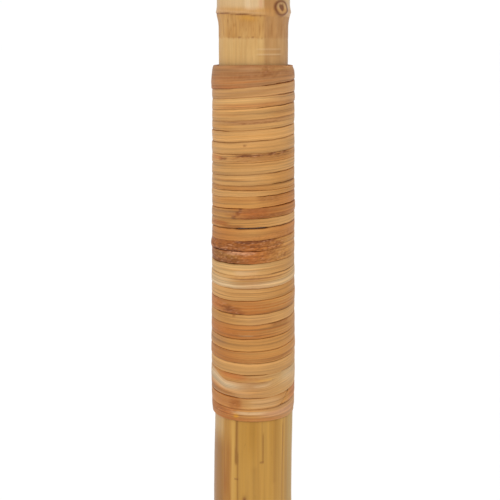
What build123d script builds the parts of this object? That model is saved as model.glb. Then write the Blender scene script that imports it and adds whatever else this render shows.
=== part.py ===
from build123d import *
import math
import os

# A bamboo garden torch in two sections. The lower culm has a slanted point for the ground and carries a
# steel ferrule, bound over with split rattan cane. The upper culm plugs into the ferrule and carries a
# woven basket, which holds an oil canister with its burner, wick and snuffer.
# Millimetres. Z is the torch's axis, z = 0 is ground level, and -Y is the front.

# Lower culm
GROUND_DEPTH = 230.0  # length of culm below ground level
POINT_RISE = 62.0  # height of the slanted cut
CULM_FOOT_R = 17.2
SHOULDER_Z = 395.0  # where the tenon starts, and the bottom of the cane binding
SHOULDER_R = 16.9
LOWER_RING_Z = (25.0, 185.0, 345.0)
LOWER_RING_R = (17.2, 17.1, 17.05)
TENON_R = 14.0
TENON_LENGTH = 70.0
CHAMBER_R = 10.5  # hollow of an internode
TENON_BORE_R = 9.2

# A culm's nodes
RING_RISE = 0.5  # how far the ring stands out of the wider side
RING_FLARE = 6.0  # length of the concave flare below it
RING_SHOULDER = 2.6  # length of the round shoulder above it
DIAPHRAGM = 7.0  # thickness of the wall across the hollow at a node

# Ferrule, cane binding and slip joint
BINDING_LENGTH = 146.0
BINDING_TOP_Z = SHOULDER_Z + BINDING_LENGTH
FERRULE_R = 15.6
FERRULE_WALL = 1.5
FERRULE_TOP_GAP = 1.5  # the cane stands this far above the tube's end
CANE_THICKNESS = (2.2, 1.7, 1.1)  # of each cane, from the lowest up
CANE_WIDTH = 4.85
CANE_PITCH = 5.0
CANE_GAP = 0.06  # cane to ferrule, and from one cane's end to the next
SPIGOT_R = 13.8
SPIGOT_FOOT_Z = SHOULDER_Z + TENON_LENGTH + 0.4

# Upper culm
JOINT_RING_Z = BINDING_TOP_Z + 20.6
UPPER_RING_Z = (JOINT_RING_Z, 762.0, 952.0)
UPPER_RING_R = (14.4, 14.5, 14.4)
NECK_Z = 1008.0
NECK_R = 14.3
POLE_TOP_Z = 1062.0
UPPER_CHAMBER_R = 9.0

# Basket ribs: slats that stand on the culm's neck and flare outwards
RIBS = 12
RIB_THICKNESS = 2.4
RIB_FOOT_Z = 1010.0
RIB_TOP_Z = 1262.0
RIB_FOOT_WIDTH = 4.6
RIB_TOP_WIDTH = 10.0
RIB_LINE_R = NECK_R + 0.1 + RIB_THICKNESS / 2  # middle of the slat at the neck
BEND_Z = 1056.0
BEND_R = 150.0
FLARE = math.radians(13.5)
FLARE_START_R = RIB_LINE_R + BEND_R * (1 - math.cos(FLARE))
FLARE_START_Z = BEND_Z + BEND_R * math.sin(FLARE)
RIB_STEP = 360.0 / RIBS

# Basket weave: flat strips that pass in front of one rib and behind the next
WEAVE_ROWS = 17
WEAVE_FIRST_Z = 1104.0
WEAVE_PITCH = 9.0
WEAVE_HEIGHT = 7.0
WEAVE_THICKNESS = 0.9
WEAVE_GAP = 0.15
WEAVE_EDGE_MARGIN = 0.3
WEAVE_SWING = (
    RIB_THICKNESS / 2 / math.cos(FLARE) + WEAVE_THICKNESS / 2 + WEAVE_GAP + math.tan(FLARE) * WEAVE_HEIGHT / 2
)

# Rim hoops and lashings
HOOP_THICKNESS = 2.0
HOOP_HEIGHT = 9.0
HOOP_TOP_Z = 1263.0
OUTER_HOOP_GAP = 0.45
INNER_HOOP_GAP = 0.2
LASHING_THICKNESS = 0.8
LASHING_WIDTH = 4.0
NECK_BINDING_Z = (1015.0, 1054.0)
NECK_BINDING_R = 17.35
NECK_BINDING_THICKNESS = 1.2

# Brads
BRAD_R = 0.9
BRAD_HOLE_GAP = 0.03
FERRULE_BRAD_Z = (418.0, 444.0)
FERRULE_BRAD_LENGTH = 5.6
RIB_BRAD_Z = 1035.0
RIB_BRAD_LENGTH = 6.6

# Canister
CANISTER_R = 36.0
SHEET = 0.6  # tinplate thickness
CANISTER_FOOT_Z = 1171.0
CANISTER_HEIGHT = 84.0
FOOT_RECESS = 2.4
SEAM_RISE = 3.0
CANISTER_TOP_Z = CANISTER_FOOT_Z + CANISTER_HEIGHT
MOUTH_R = 19.4  # outside of the filling neck
MOUTH_TOP_Z = CANISTER_TOP_Z + 17.0
LIP_R = 20.4

# Burner, wick and snuffer
CAP_R = 22.4
CAP_SHEET = 0.8
CAP_SKIRT = 5.0
STOPPER_DEPTH = 11.0
STOPPER_GAP = 0.2
TUBE_R = 5.7
TUBE_WALL = 0.7
TUBE_ABOVE = 15.0
TUBE_BELOW = 15.0
WICK_R = 4.75
WICK_ABOVE = 11.0
WICK_FOOT_Z = CANISTER_FOOT_Z + 11.0
SNUFFER_R = 10.6
SNUFFER_WALL = 0.6
SNUFFER_BRIM_R = 12.4
SNUFFER_HEIGHT = 45.0
SNUFFER_CROWN = 2.5  # the bevel round the crown
KNOB_R = 6.5
KNOB_HEIGHT = 12.0
RIVET_R = 1.5
PART_GAP = 0.2  # between pieces that are set down on each other

CAP_TOP_Z = MOUTH_TOP_Z + PART_GAP + CAP_SHEET
SNUFFER_FOOT_Z = CAP_TOP_Z + PART_GAP


def turned(outline):
    """The solid of revolution about Z of a closed outline of (radius, height) points."""
    corners = [Vector(r, 0, z) for r, z in outline]
    return revolve(make_face(Polyline(*corners, close=True)), Axis.Z)


def rod(radius, low, high):
    """An upright cylinder on the torch's axis."""
    return Pos(0, 0, (low + high) / 2) * Cylinder(radius, high - low)


def tube(radius, wall, low, high):
    """An upright tube on the torch's axis."""
    return rod(radius, low, high) - rod(radius - wall, low, high)


def ring_about(pieces, count, first=0.0):
    """Copies of one solid, spaced evenly about Z."""
    return [Rot(0, 0, first + i * 360.0 / count) * pieces for i in range(count)]


def culm(foot, rings, head):
    """A solid culm. foot and head are lists of (radius, height) corners, and each ring is
    (height, radius below it, radius above it)."""
    edges = []
    corner = Vector(foot[0][0], 0, foot[0][1])
    first = corner
    for r, z in foot[1:]:
        edges.append(Line(corner, (r, 0, z)))
        corner = Vector(r, 0, z)
    for z, below, above in rings:
        crest = max(below, above) + RING_RISE
        flare_foot = Vector(below, 0, z - RING_FLARE)
        flare_middle = Vector(below + 0.36 * (crest - below), 0, z - 0.45 * RING_FLARE)
        crest_point = Vector(crest, 0, z)
        shoulder_middle = Vector(above + 0.36 * (crest - above), 0, z + 0.45 * RING_SHOULDER)
        shoulder_top = Vector(above, 0, z + RING_SHOULDER)
        edges.append(Line(corner, flare_foot))
        edges.append(ThreePointArc(flare_foot, flare_middle, crest_point))
        edges.append(ThreePointArc(crest_point, shoulder_middle, shoulder_top))
        corner = shoulder_top
    for r, z in head:
        edges.append(Line(corner, (r, 0, z)))
        corner = Vector(r, 0, z)
    edges.append(Line(corner, (0, 0, corner.Z)))
    edges.append(Line((0, 0, corner.Z), (0, 0, first.Z)))
    edges.append(Line((0, 0, first.Z), first))
    return revolve(make_face(edges), Axis.Z)


def hollow(solid, spans, radius):
    """Takes an internode's hollow out of a culm for each (low, high) span."""
    for low, high in spans:
        solid -= rod(radius, low, high)
    return solid


def radial_brad(outer_r, length, z, angle, radius):
    """A headless brad driven straight in towards the axis, with its outer end at outer_r."""
    shank = Pos(outer_r - length / 2, 0, z) * Rot(0, 90, 0) * Cylinder(radius, length)
    return Rot(0, 0, angle) * shank


def ferrule_brads(radius):
    """Two brads on opposite sides, at different heights."""
    low, high = FERRULE_BRAD_Z
    outer = FERRULE_R - 0.05
    return [
        radial_brad(outer, FERRULE_BRAD_LENGTH, low, 0, radius),
        radial_brad(outer, FERRULE_BRAD_LENGTH, high, 180, radius),
    ]


def rib_brads(radius):
    """One brad through the foot of each rib into the culm."""
    outer = NECK_R + 0.1 + RIB_THICKNESS - 0.05
    return [radial_brad(outer, RIB_BRAD_LENGTH, RIB_BRAD_Z, i * RIB_STEP, radius) for i in range(RIBS)]


def lower_pole():
    """The lower culm: a slanted point, three nodes, and a turned tenon in the ferrule."""
    tenon_top = SHOULDER_Z + TENON_LENGTH
    rings = [(z, r, r) for z, r in zip(LOWER_RING_Z, LOWER_RING_R)]
    body = culm(
        foot=[(CULM_FOOT_R, -GROUND_DEPTH)],
        rings=rings,
        head=[(SHOULDER_R, SHOULDER_Z - 0.4), (TENON_R, SHOULDER_Z - 0.4), (TENON_R, tenon_top)],
    )
    half = DIAPHRAGM / 2
    spans = [(low + half, high - half) for low, high in zip(LOWER_RING_Z, LOWER_RING_Z[1:])]
    body = hollow(body, [(-GROUND_DEPTH - 1, LOWER_RING_Z[0] - half)] + spans, CHAMBER_R)
    body = hollow(body, [(LOWER_RING_Z[-1] + half, tenon_top + 1)], TENON_BORE_R)
    for hole in ferrule_brads(BRAD_R + BRAD_HOLE_GAP):
        body -= hole
    across = 2 * CULM_FOOT_R
    middle = Vector(0, 0, -GROUND_DEPTH + POINT_RISE / 2)
    slant = Plane(origin=middle, x_dir=(0, 1, 0), z_dir=(-POINT_RISE, 0, across))
    return split(body, bisect_by=slant, keep=Keep.TOP)


def ferrule_tube():
    """The steel tube over the tenon, with the socket for the upper culm above it."""
    body = tube(FERRULE_R, FERRULE_WALL, SHOULDER_Z, BINDING_TOP_Z - FERRULE_TOP_GAP)
    for hole in ferrule_brads(BRAD_R + BRAD_HOLE_GAP):
        body -= hole
    return body


def binding_cane(index):
    """One of the canes wound right-handed round the ferrule, each starting where the last one ends."""
    thickness = CANE_THICKNESS[index]
    climb = (BINDING_LENGTH - CANE_WIDTH) / len(CANE_THICKNESS)
    start = SHOULDER_Z + CANE_WIDTH / 2 + index * climb
    turns = climb / CANE_PITCH
    middle_r = FERRULE_R + CANE_GAP + thickness / 2
    end_trim = CANE_PITCH * CANE_GAP / (2 * math.pi * middle_r)
    line = Helix(CANE_PITCH, climb - end_trim, middle_r)
    section = Plane(origin=line @ 0, x_dir=(1, 0, 0), z_dir=line % 0) * Rectangle(thickness, CANE_WIDTH)
    ribbon = sweep(section, path=line, is_frenet=True)
    return Pos(0, 0, start) * Rot(0, 0, 90 + index * turns * 360.0) * ribbon


def upper_pole():
    """The upper culm: a turned spigot, three nodes, and a neck for the basket ribs."""
    rings = [(UPPER_RING_Z[0], SPIGOT_R, UPPER_RING_R[0])]
    rings += [(z, r, r) for z, r in zip(UPPER_RING_Z[1:], UPPER_RING_R[1:])]
    body = culm(
        foot=[(SPIGOT_R - 0.8, SPIGOT_FOOT_Z), (SPIGOT_R, SPIGOT_FOOT_Z + 1.5)],
        rings=rings,
        head=[(NECK_R, NECK_Z), (NECK_R, POLE_TOP_Z)],
    )
    half = DIAPHRAGM / 2
    edges = (SPIGOT_FOOT_Z - 1 - half,) + UPPER_RING_Z + (POLE_TOP_Z + 1 + half,)
    body = hollow(body, [(low + half, high - half) for low, high in zip(edges, edges[1:])], UPPER_CHAMBER_R)
    for hole in rib_brads(BRAD_R + BRAD_HOLE_GAP):
        body -= hole
    return body


def flare_radius(z):
    """Radius of the middle of a rib at height z, on its straight slope."""
    return FLARE_START_R + math.tan(FLARE) * (z - FLARE_START_Z)


def rib_half_width(z):
    """Half the width of a rib, which widens evenly from foot to top."""
    share = (z - RIB_FOOT_Z) / (RIB_TOP_Z - RIB_FOOT_Z)
    return (RIB_FOOT_WIDTH + share * (RIB_TOP_WIDTH - RIB_FOOT_WIDTH)) / 2


def rib_side(offset):
    """The four points of one side of a rib's bent outline, offset outwards from its middle line."""
    bend_centre_r = RIB_LINE_R + BEND_R
    radius = BEND_R - offset

    def on_bend(angle):
        return Vector(bend_centre_r - radius * math.cos(angle), 0, BEND_Z + radius * math.sin(angle))

    slope = (RIB_TOP_Z - FLARE_START_Z) / math.cos(FLARE)
    top = on_bend(FLARE) + Vector(slope * math.sin(FLARE), 0, slope * math.cos(FLARE))
    return Vector(RIB_LINE_R + offset, 0, RIB_FOOT_Z), on_bend(0), on_bend(FLARE / 2), on_bend(FLARE), top


def basket_rib(index):
    """One bamboo slat: upright on the neck, then bent outwards, and wider towards the rim."""
    half = RIB_THICKNESS / 2
    outer_foot, outer_low, outer_mid, outer_high, outer_top = rib_side(half)
    inner_foot, inner_low, inner_mid, inner_high, inner_top = rib_side(-half)
    side = make_face(
        [
            Line(outer_foot, outer_low),
            ThreePointArc(outer_low, outer_mid, outer_high),
            Line(outer_high, outer_top),
            Line(outer_top, inner_top),
            Line(inner_top, inner_high),
            ThreePointArc(inner_high, inner_mid, inner_low),
            Line(inner_low, inner_foot),
            Line(inner_foot, outer_foot),
        ]
    )
    slab = extrude(side, amount=RIB_TOP_WIDTH, dir=(0, 1, 0), both=True)
    low, high = RIB_FOOT_Z - 5, RIB_TOP_Z + 5
    corners = [(-1, low), (1, low), (1, high), (-1, high)]
    front = [(0, hand * rib_half_width(z), z) for hand, z in corners]
    taper = extrude(make_face(Polyline(*front, close=True)), amount=2 * CANISTER_R, dir=(1, 0, 0))
    rib = (slab & taper) - radial_brad(
        RIB_LINE_R + RIB_THICKNESS, 2 * RIB_THICKNESS, RIB_BRAD_Z, 0, BRAD_R + BRAD_HOLE_GAP
    )
    return Rot(0, 0, index * RIB_STEP) * rib


def weave_row(row):
    """One flat strip, closed on itself, that swings out over one rib and in behind the next.
    The rows start on opposite sides of the same rib by turns."""
    z = WEAVE_FIRST_Z + row * WEAVE_PITCH
    edges = []
    first = last = None
    for rib in range(RIBS):
        side = 1 if (rib + row) % 2 == 0 else -1
        radius = flare_radius(z) + side * WEAVE_SWING
        middle = math.radians(rib * RIB_STEP)
        reach = math.asin((rib_half_width(z) + WEAVE_EDGE_MARGIN) / radius)
        start, centre, end = [
            Vector(radius * math.cos(turn), radius * math.sin(turn), 0)
            for turn in (middle - reach, middle, middle + reach)
        ]
        if last is None:
            first = start
        else:
            edges.append(Line(last, start))
        edges.append(ThreePointArc(start, centre, end))
        last = end
    edges.append(Line(last, first))
    inside = make_face(edges)
    half = WEAVE_THICKNESS / 2
    band = offset(inside, half, kind=Kind.INTERSECTION) - offset(inside, -half, kind=Kind.INTERSECTION)
    return Pos(0, 0, z - WEAVE_HEIGHT / 2) * extrude(band, amount=WEAVE_HEIGHT)


def on_slope(across, along):
    """(radius, height) of a point given by its distance out of the rib's middle line, and its distance
    up the slope from the rim hoops' top edge."""
    top_r = flare_radius(HOOP_TOP_Z)
    r = top_r + across * math.cos(FLARE) + along * math.sin(FLARE)
    z = HOOP_TOP_Z - across * math.sin(FLARE) + along * math.cos(FLARE)
    return r, z


def rim_hoop(near, far):
    """A hoop whose section lies along the slope of the ribs, between two offsets from their middle."""
    low = -HOOP_HEIGHT
    return turned([on_slope(near, low), on_slope(far, low), on_slope(far, 0), on_slope(near, 0)])


OUTER_HOOP = (RIB_THICKNESS / 2 + OUTER_HOOP_GAP, RIB_THICKNESS / 2 + OUTER_HOOP_GAP + HOOP_THICKNESS)
INNER_HOOP = (-RIB_THICKNESS / 2 - INNER_HOOP_GAP - HOOP_THICKNESS, -RIB_THICKNESS / 2 - INNER_HOOP_GAP)


def rim_lashing():
    """Cane loops round both hoops, two between each pair of ribs."""

    def plate(margin):
        low, high = INNER_HOOP[0] - margin, OUTER_HOOP[1] + margin
        foot, top = -HOOP_HEIGHT - margin, margin
        corners = [on_slope(low, foot), on_slope(high, foot), on_slope(high, top), on_slope(low, top)]
        face = make_face(Polyline(*[(r, 0, z) for r, z in corners], close=True))
        return extrude(face, amount=LASHING_WIDTH / 2, dir=(0, 1, 0), both=True)

    loop = plate(PART_GAP + LASHING_THICKNESS) - plate(PART_GAP)
    third = RIB_STEP / 3
    return ring_about(loop, RIBS, third) + ring_about(loop, RIBS, 2 * third)


def neck_binding():
    """The cane binding that holds the feet of the ribs on the culm."""
    low, high = NECK_BINDING_Z
    return tube(NECK_BINDING_R + NECK_BINDING_THICKNESS, NECK_BINDING_THICKNESS, low, high)


def canister_body():
    """The drawn can: a straight wall, and a bottom set up inside its foot."""
    z0, z1 = CANISTER_FOOT_Z, CANISTER_TOP_Z
    inner = CANISTER_R - SHEET
    return turned(
        [
            (0, z0 + FOOT_RECESS),
            (inner - 3, z0 + FOOT_RECESS),
            (inner - 2, z0),
            (CANISTER_R - 0.6, z0),
            (CANISTER_R, z0 + 0.6),
            (CANISTER_R, z1),
            (inner, z1),
            (inner, z0 + SHEET + FOOT_RECESS),
            (0, z0 + SHEET + FOOT_RECESS),
        ]
    )


def canister_top():
    """The can's domed top, seamed over the wall, with the filling neck and its rolled lip."""
    z = CANISTER_TOP_Z
    seam_r = CANISTER_R + 0.1 + SHEET
    neck_inner = MOUTH_R - SHEET
    return turned(
        [
            (seam_r, z - SEAM_RISE),
            (seam_r, z + 1.2),
            (seam_r - 2.6, z + 1.2),
            (seam_r - 3.2, z + 0.9),
            (MOUTH_R + 1.2, z + 6.4),
            (MOUTH_R, z + 7.6),
            (MOUTH_R, MOUTH_TOP_Z - 2.0),
            (LIP_R, MOUTH_TOP_Z - 1.6),
            (LIP_R, MOUTH_TOP_Z - 0.4),
            (LIP_R - 0.4, MOUTH_TOP_Z),
            (neck_inner, MOUTH_TOP_Z),
            (neck_inner, z + 7.2),
            (MOUTH_R + 0.6, z + 5.9),
            (seam_r - 3.4, z + 0.2),
            (CANISTER_R + 0.1, z + 0.2),
            (CANISTER_R + 0.1, z - SEAM_RISE),
        ]
    )


def burner_cap():
    """The pressed cap that sits on the canister's lip, with a skirt round it and a hole for the tube."""
    low = CAP_TOP_Z - CAP_SHEET
    skirt_inner = CAP_R - CAP_SHEET
    hole = TUBE_R + 0.05
    return turned(
        [
            (hole, low),
            (skirt_inner, low),
            (skirt_inner, CAP_TOP_Z - CAP_SKIRT),
            (CAP_R, CAP_TOP_Z - CAP_SKIRT),
            (CAP_R, CAP_TOP_Z - 0.6),
            (CAP_R - 0.6, CAP_TOP_Z),
            (hole, CAP_TOP_Z),
        ]
    )


def burner_stopper():
    """The rubber stopper under the cap, which plugs the filling neck."""
    top = CAP_TOP_Z - CAP_SHEET
    low = top - STOPPER_DEPTH
    outer = MOUTH_R - SHEET - STOPPER_GAP
    hole = TUBE_R + 0.05
    return turned([(hole, low), (outer - 1.0, low), (outer, low + 2.0), (outer, top), (hole, top)])


def wick_tube():
    """The tube that grips the wick and carries it through the cap and stopper."""
    return tube(TUBE_R, TUBE_WALL, CAP_TOP_Z - TUBE_BELOW, CAP_TOP_Z + TUBE_ABOVE)


def wick():
    """The braided wick, from above the tube down to the canister's foot."""
    return rod(WICK_R, WICK_FOOT_Z, CAP_TOP_Z + TUBE_ABOVE + WICK_ABOVE)


def snuffer_cup():
    """The cup that covers the burning wick: a brim, a straight wall, and a crown with a rivet hole."""
    z0 = SNUFFER_FOOT_Z
    z1 = z0 + SNUFFER_HEIGHT
    inner = SNUFFER_R - SNUFFER_WALL
    crown = SNUFFER_CROWN
    hole = RIVET_R + BRAD_HOLE_GAP
    return turned(
        [
            (inner, z0),
            (SNUFFER_BRIM_R, z0),
            (SNUFFER_BRIM_R, z0 + SNUFFER_WALL),
            (SNUFFER_R, z0 + 2 * SNUFFER_WALL),
            (SNUFFER_R, z1 - crown),
            (SNUFFER_R - crown, z1),
            (hole, z1),
            (hole, z1 - SNUFFER_WALL),
            (inner - crown, z1 - SNUFFER_WALL),
            (inner, z1 - crown - SNUFFER_WALL / 2),
        ]
    )


def snuffer_knob():
    """A turned wooden knob, bored from below for the rivet."""
    z0 = SNUFFER_FOOT_Z + SNUFFER_HEIGHT + 0.05
    foot_r, waist_r, crown_r = 0.62 * KNOB_R, 0.5 * KNOB_R, 0.35 * KNOB_R
    waist_z = z0 + 0.22 * KNOB_HEIGHT
    top = z0 + KNOB_HEIGHT
    waist, crown = Vector(waist_r, 0, waist_z), Vector(crown_r, 0, top)
    widest = Vector(KNOB_R, 0, (waist_z + top) / 2)
    outline = [
        Line((0, 0, z0), (foot_r, 0, z0)),
        Line((foot_r, 0, z0), waist),
        ThreePointArc(waist, widest, crown),
        Line(crown, (0, 0, top)),
        Line((0, 0, top), (0, 0, z0)),
    ]
    body = revolve(make_face(outline), Axis.Z)
    return body - rod(RIVET_R + BRAD_HOLE_GAP, z0 - 1, z0 + 0.55 * KNOB_HEIGHT)


def snuffer_rivet():
    """The rivet from inside the cup into the knob."""
    under_crown = SNUFFER_FOOT_Z + SNUFFER_HEIGHT - SNUFFER_WALL
    shank = rod(RIVET_R, under_crown - 0.9, SNUFFER_FOOT_Z + SNUFFER_HEIGHT + 0.5 * KNOB_HEIGHT)
    return shank + rod(2 * RIVET_R, under_crown - 0.95, under_crown - 0.05)


def save(name, shape):
    """Writes one sub-part, or a group of separate solids, as parts/NAME.step."""
    if isinstance(shape, list):
        shape = Compound(children=[solid for piece in shape for solid in piece.solids()])
    export_step(shape, f"parts/{name}.step")


def main():
    os.makedirs("parts", exist_ok=True)
    save("lower_pole", lower_pole())
    save("ferrule_tube", ferrule_tube())
    save("ferrule_brads", ferrule_brads(BRAD_R))
    for index, place in enumerate(("lower", "middle", "upper")):
        save(f"binding_cane_{place}", binding_cane(index))
    save("upper_pole", upper_pole())
    for index in range(RIBS):
        save(f"basket_rib_{index + 1:02d}", basket_rib(index))
    save("rib_brads", rib_brads(BRAD_R))
    save("neck_binding", neck_binding())
    for row in range(WEAVE_ROWS):
        save(f"weave_row_{row + 1:02d}", weave_row(row))
    save("rim_hoop_outer", rim_hoop(*OUTER_HOOP))
    save("rim_hoop_inner", rim_hoop(*INNER_HOOP))
    save("rim_lashing", rim_lashing())
    save("canister_body", canister_body())
    save("canister_top", canister_top())
    save("burner_cap", burner_cap())
    save("burner_stopper", burner_stopper())
    save("wick_tube", wick_tube())
    save("wick", wick())
    save("snuffer_cup", snuffer_cup())
    save("snuffer_knob", snuffer_knob())
    save("snuffer_rivet", snuffer_rivet())


main()
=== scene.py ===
import math

import bmesh
import bpy
import numpy as np
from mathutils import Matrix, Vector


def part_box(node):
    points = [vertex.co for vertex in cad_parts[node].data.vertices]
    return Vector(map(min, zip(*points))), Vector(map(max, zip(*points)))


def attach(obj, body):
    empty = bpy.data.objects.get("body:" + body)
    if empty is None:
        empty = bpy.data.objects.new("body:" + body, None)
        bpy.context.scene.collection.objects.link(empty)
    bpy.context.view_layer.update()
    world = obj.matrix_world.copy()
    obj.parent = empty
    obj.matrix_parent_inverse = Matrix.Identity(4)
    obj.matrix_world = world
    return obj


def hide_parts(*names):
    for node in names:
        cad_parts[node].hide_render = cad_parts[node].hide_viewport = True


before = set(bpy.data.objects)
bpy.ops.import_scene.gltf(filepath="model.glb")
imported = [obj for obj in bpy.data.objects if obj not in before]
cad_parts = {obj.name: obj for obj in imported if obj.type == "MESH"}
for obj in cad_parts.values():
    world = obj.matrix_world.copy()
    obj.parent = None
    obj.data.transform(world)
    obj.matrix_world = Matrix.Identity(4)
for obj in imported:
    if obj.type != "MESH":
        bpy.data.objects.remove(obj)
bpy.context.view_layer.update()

# Lengths of the torch's own details are in millimetres, and reach the meshes in metres through MM.
# Azimuths are in degrees round the pole: 0 is the front (-Y), and 90 is the right (+X).
MM = 0.001


def low(node):
    """Height of a CAD node's lowest point, in millimetres."""
    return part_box(node)[0].z / MM


def high(node):
    """Height of a CAD node's highest point, in millimetres."""
    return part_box(node)[1].z / MM


def reach(node):
    """Outer radius of a round CAD node, in millimetres."""
    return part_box(node)[1].x / MM


LIP_RISE = 1.5  # how far the binding reaches above the ferrule
TIP_Z = low("lower_pole")
SHOULDER_Z = low("ferrule_tube")
BINDING_TOP_Z = high("ferrule_tube") + LIP_RISE
FERRULE_R = reach("ferrule_tube")
RIB_FOOT_Z = low("basket_rib_01")


# ---- Colours and noise ----


def srgb(red, green, blue):
    """A display colour, 0 to 255, as linear light."""
    c = np.array([red, green, blue]) / 255
    return np.where(c <= 0.04045, c / 12.92, ((c + 0.055) / 1.055) ** 2.4)


# How much of the white surround a bamboo surface reflects, on top of its own colour.
REFLECTED = 0.032


def bamboo(red, green, blue):
    """The colour that a bamboo surface needs to look like this display colour in the studio."""
    return np.maximum(srgb(red, green, blue) - REFLECTED, 0.006)


TONES = {
    "cream": bamboo(207, 167, 122),
    "straw": bamboo(204, 161, 106),
    "golden": bamboo(201, 151, 94),
    "honey": bamboo(192, 138, 80),
    "amber": bamboo(184, 124, 70),
    "rose": bamboo(179, 129, 85),
    "rust": bamboo(188, 112, 64),
    "russet": bamboo(170, 105, 57),
    "umber": bamboo(148, 93, 52),
    "olive": bamboo(158, 112, 64),
    "bark": bamboo(120, 76, 36),
    "tan": bamboo(192, 144, 95),
    "pale": bamboo(219, 189, 148),
    "pink": bamboo(212, 158, 122),
    "yellow": bamboo(214, 152, 60),
}


def mix(a, b, share):
    """Blends colours, with share from 0 to 1 at each point. A colour is an array or the name of a tone."""
    a, b = (TONES[colour] if isinstance(colour, str) else colour for colour in (a, b))
    share = np.clip(share, 0, 1)[..., None]
    return a * (1 - share) + b * share


def ramp(x, start, end):
    """0 before start, 1 after end, and a smooth step between them. Works with start above end too."""
    t = np.clip((x - start) / (end - start), 0, 1)
    return t * t * (3 - 2 * t)


def bell(x, centre, width):
    """A smooth bump of height 1."""
    return np.exp(-(((x - centre) / width) ** 2))


def turn_from(azimuth, centre):
    """Signed angle from centre to azimuth, in degrees, between -180 and 180."""
    return (azimuth - centre + 180) % 360 - 180


def noise(u, v, seed, across=64, along=64):
    """Smooth noise from -1 to 1 that repeats after that many cells of u and of v."""
    cells = np.random.default_rng(seed).uniform(-1, 1, (across, along))
    u, v = np.broadcast_arrays(u, v)
    iu, iv = np.floor(u).astype(int), np.floor(v).astype(int)
    fu, fv = u - iu, v - iv
    fu, fv = fu * fu * (3 - 2 * fu), fv * fv * (3 - 2 * fv)
    left, right = iu % across, (iu + 1) % across
    near_row, far_row = iv % along, (iv + 1) % along
    near = cells[left, near_row] * (1 - fu) + cells[right, near_row] * fu
    far = cells[left, far_row] * (1 - fu) + cells[right, far_row] * fu
    return near * (1 - fv) + far * fv


def around(azimuth, cells, v, seed):
    """Noise with that many cells round the pole, where it meets itself."""
    return noise(azimuth / 360 * cells, v, seed, across=cells)


# ---- Meshes ----


def polar(radius, azimuth, z):
    """Points from arrays of radius and height in millimetres and azimuth in degrees, in metres."""
    radius, azimuth, z = np.broadcast_arrays(radius, azimuth, z)
    a = np.radians(azimuth)
    return np.stack([radius * np.sin(a), -radius * np.cos(a), z], axis=-1) * MM


class Shell:
    """One closed skin: a grid of points that closes on itself along its columns, with a cap on each end.
    Each point has a tint, a gloss and two grain coordinates, along the fibres and across them."""

    def __init__(self, points, tint, grain, gloss=0.5):
        rows, columns = points.shape[:2]
        self.points = points.reshape(-1, 3)
        self.tint = np.broadcast_to(tint, points.shape).reshape(-1, 3)
        grain = [np.broadcast_to(g, (rows, columns)) for g in grain]
        self.grain = np.stack(grain, axis=-1).reshape(-1, 2)
        self.gloss = np.broadcast_to(gloss, (rows, columns)).reshape(-1)
        index = np.arange(rows * columns).reshape(rows, columns)
        a, b = index[:-1], index[1:]
        quads = np.stack([a, np.roll(a, -1, 1), np.roll(b, -1, 1), b], axis=-1)
        self.faces = quads.reshape(-1, 4).tolist()
        self.cap(index[0], True)
        self.cap(index[-1], False)

    def cap(self, row, flip):
        """Closes an end with a fan round its middle."""
        middle = len(self.points)
        self.points = np.vstack([self.points, self.points[row].mean(0)])
        self.tint = np.vstack([self.tint, self.tint[row].mean(0)])
        self.grain = np.vstack([self.grain, self.grain[row].mean(0)])
        self.gloss = np.append(self.gloss, self.gloss[row].mean())
        for i, j in zip(row, np.roll(row, -1)):
            self.faces.append([int(j), int(i), middle] if flip else [int(i), int(j), middle])


def build(name, shells, material, body, stands_for):
    """Joins shells into one smooth-shaded piece that rides on a body and stands for a CAD node."""
    starts = np.cumsum([0] + [len(s.points) for s in shells])
    faces = []
    for s, start in zip(shells, starts.tolist()):
        faces += [[corner + start for corner in face] for face in s.faces]
    mesh = bpy.data.meshes.new(name)
    mesh.from_pydata(np.vstack([s.points for s in shells]).tolist(), [], faces)
    tint = np.vstack([s.tint for s in shells])
    colour = mesh.attributes.new("tint", "FLOAT_COLOR", "POINT")
    colour.data.foreach_set("color", np.hstack([tint, np.ones((len(tint), 1))]).ravel().astype(np.float32))
    gloss = mesh.attributes.new("gloss", "FLOAT", "POINT")
    gloss.data.foreach_set("value", np.concatenate([s.gloss for s in shells]).astype(np.float32))
    corners = np.empty(len(mesh.loops), dtype=np.int32)
    mesh.loops.foreach_get("vertex_index", corners)
    grain = np.vstack([s.grain for s in shells])[corners]
    mesh.uv_layers.new(name="grain").data.foreach_set("uv", grain.ravel().astype(np.float32))
    work = bmesh.new()
    work.from_mesh(mesh)
    bmesh.ops.recalc_face_normals(work, faces=work.faces)
    work.to_mesh(mesh)
    work.free()
    mesh.polygons.foreach_set("use_smooth", [True] * len(mesh.polygons))
    mesh.materials.append(material)
    piece = bpy.data.objects.new(name, mesh)
    bpy.context.scene.collection.objects.link(piece)
    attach(piece, body)
    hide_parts(stands_for)


# ---- Materials ----


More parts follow.
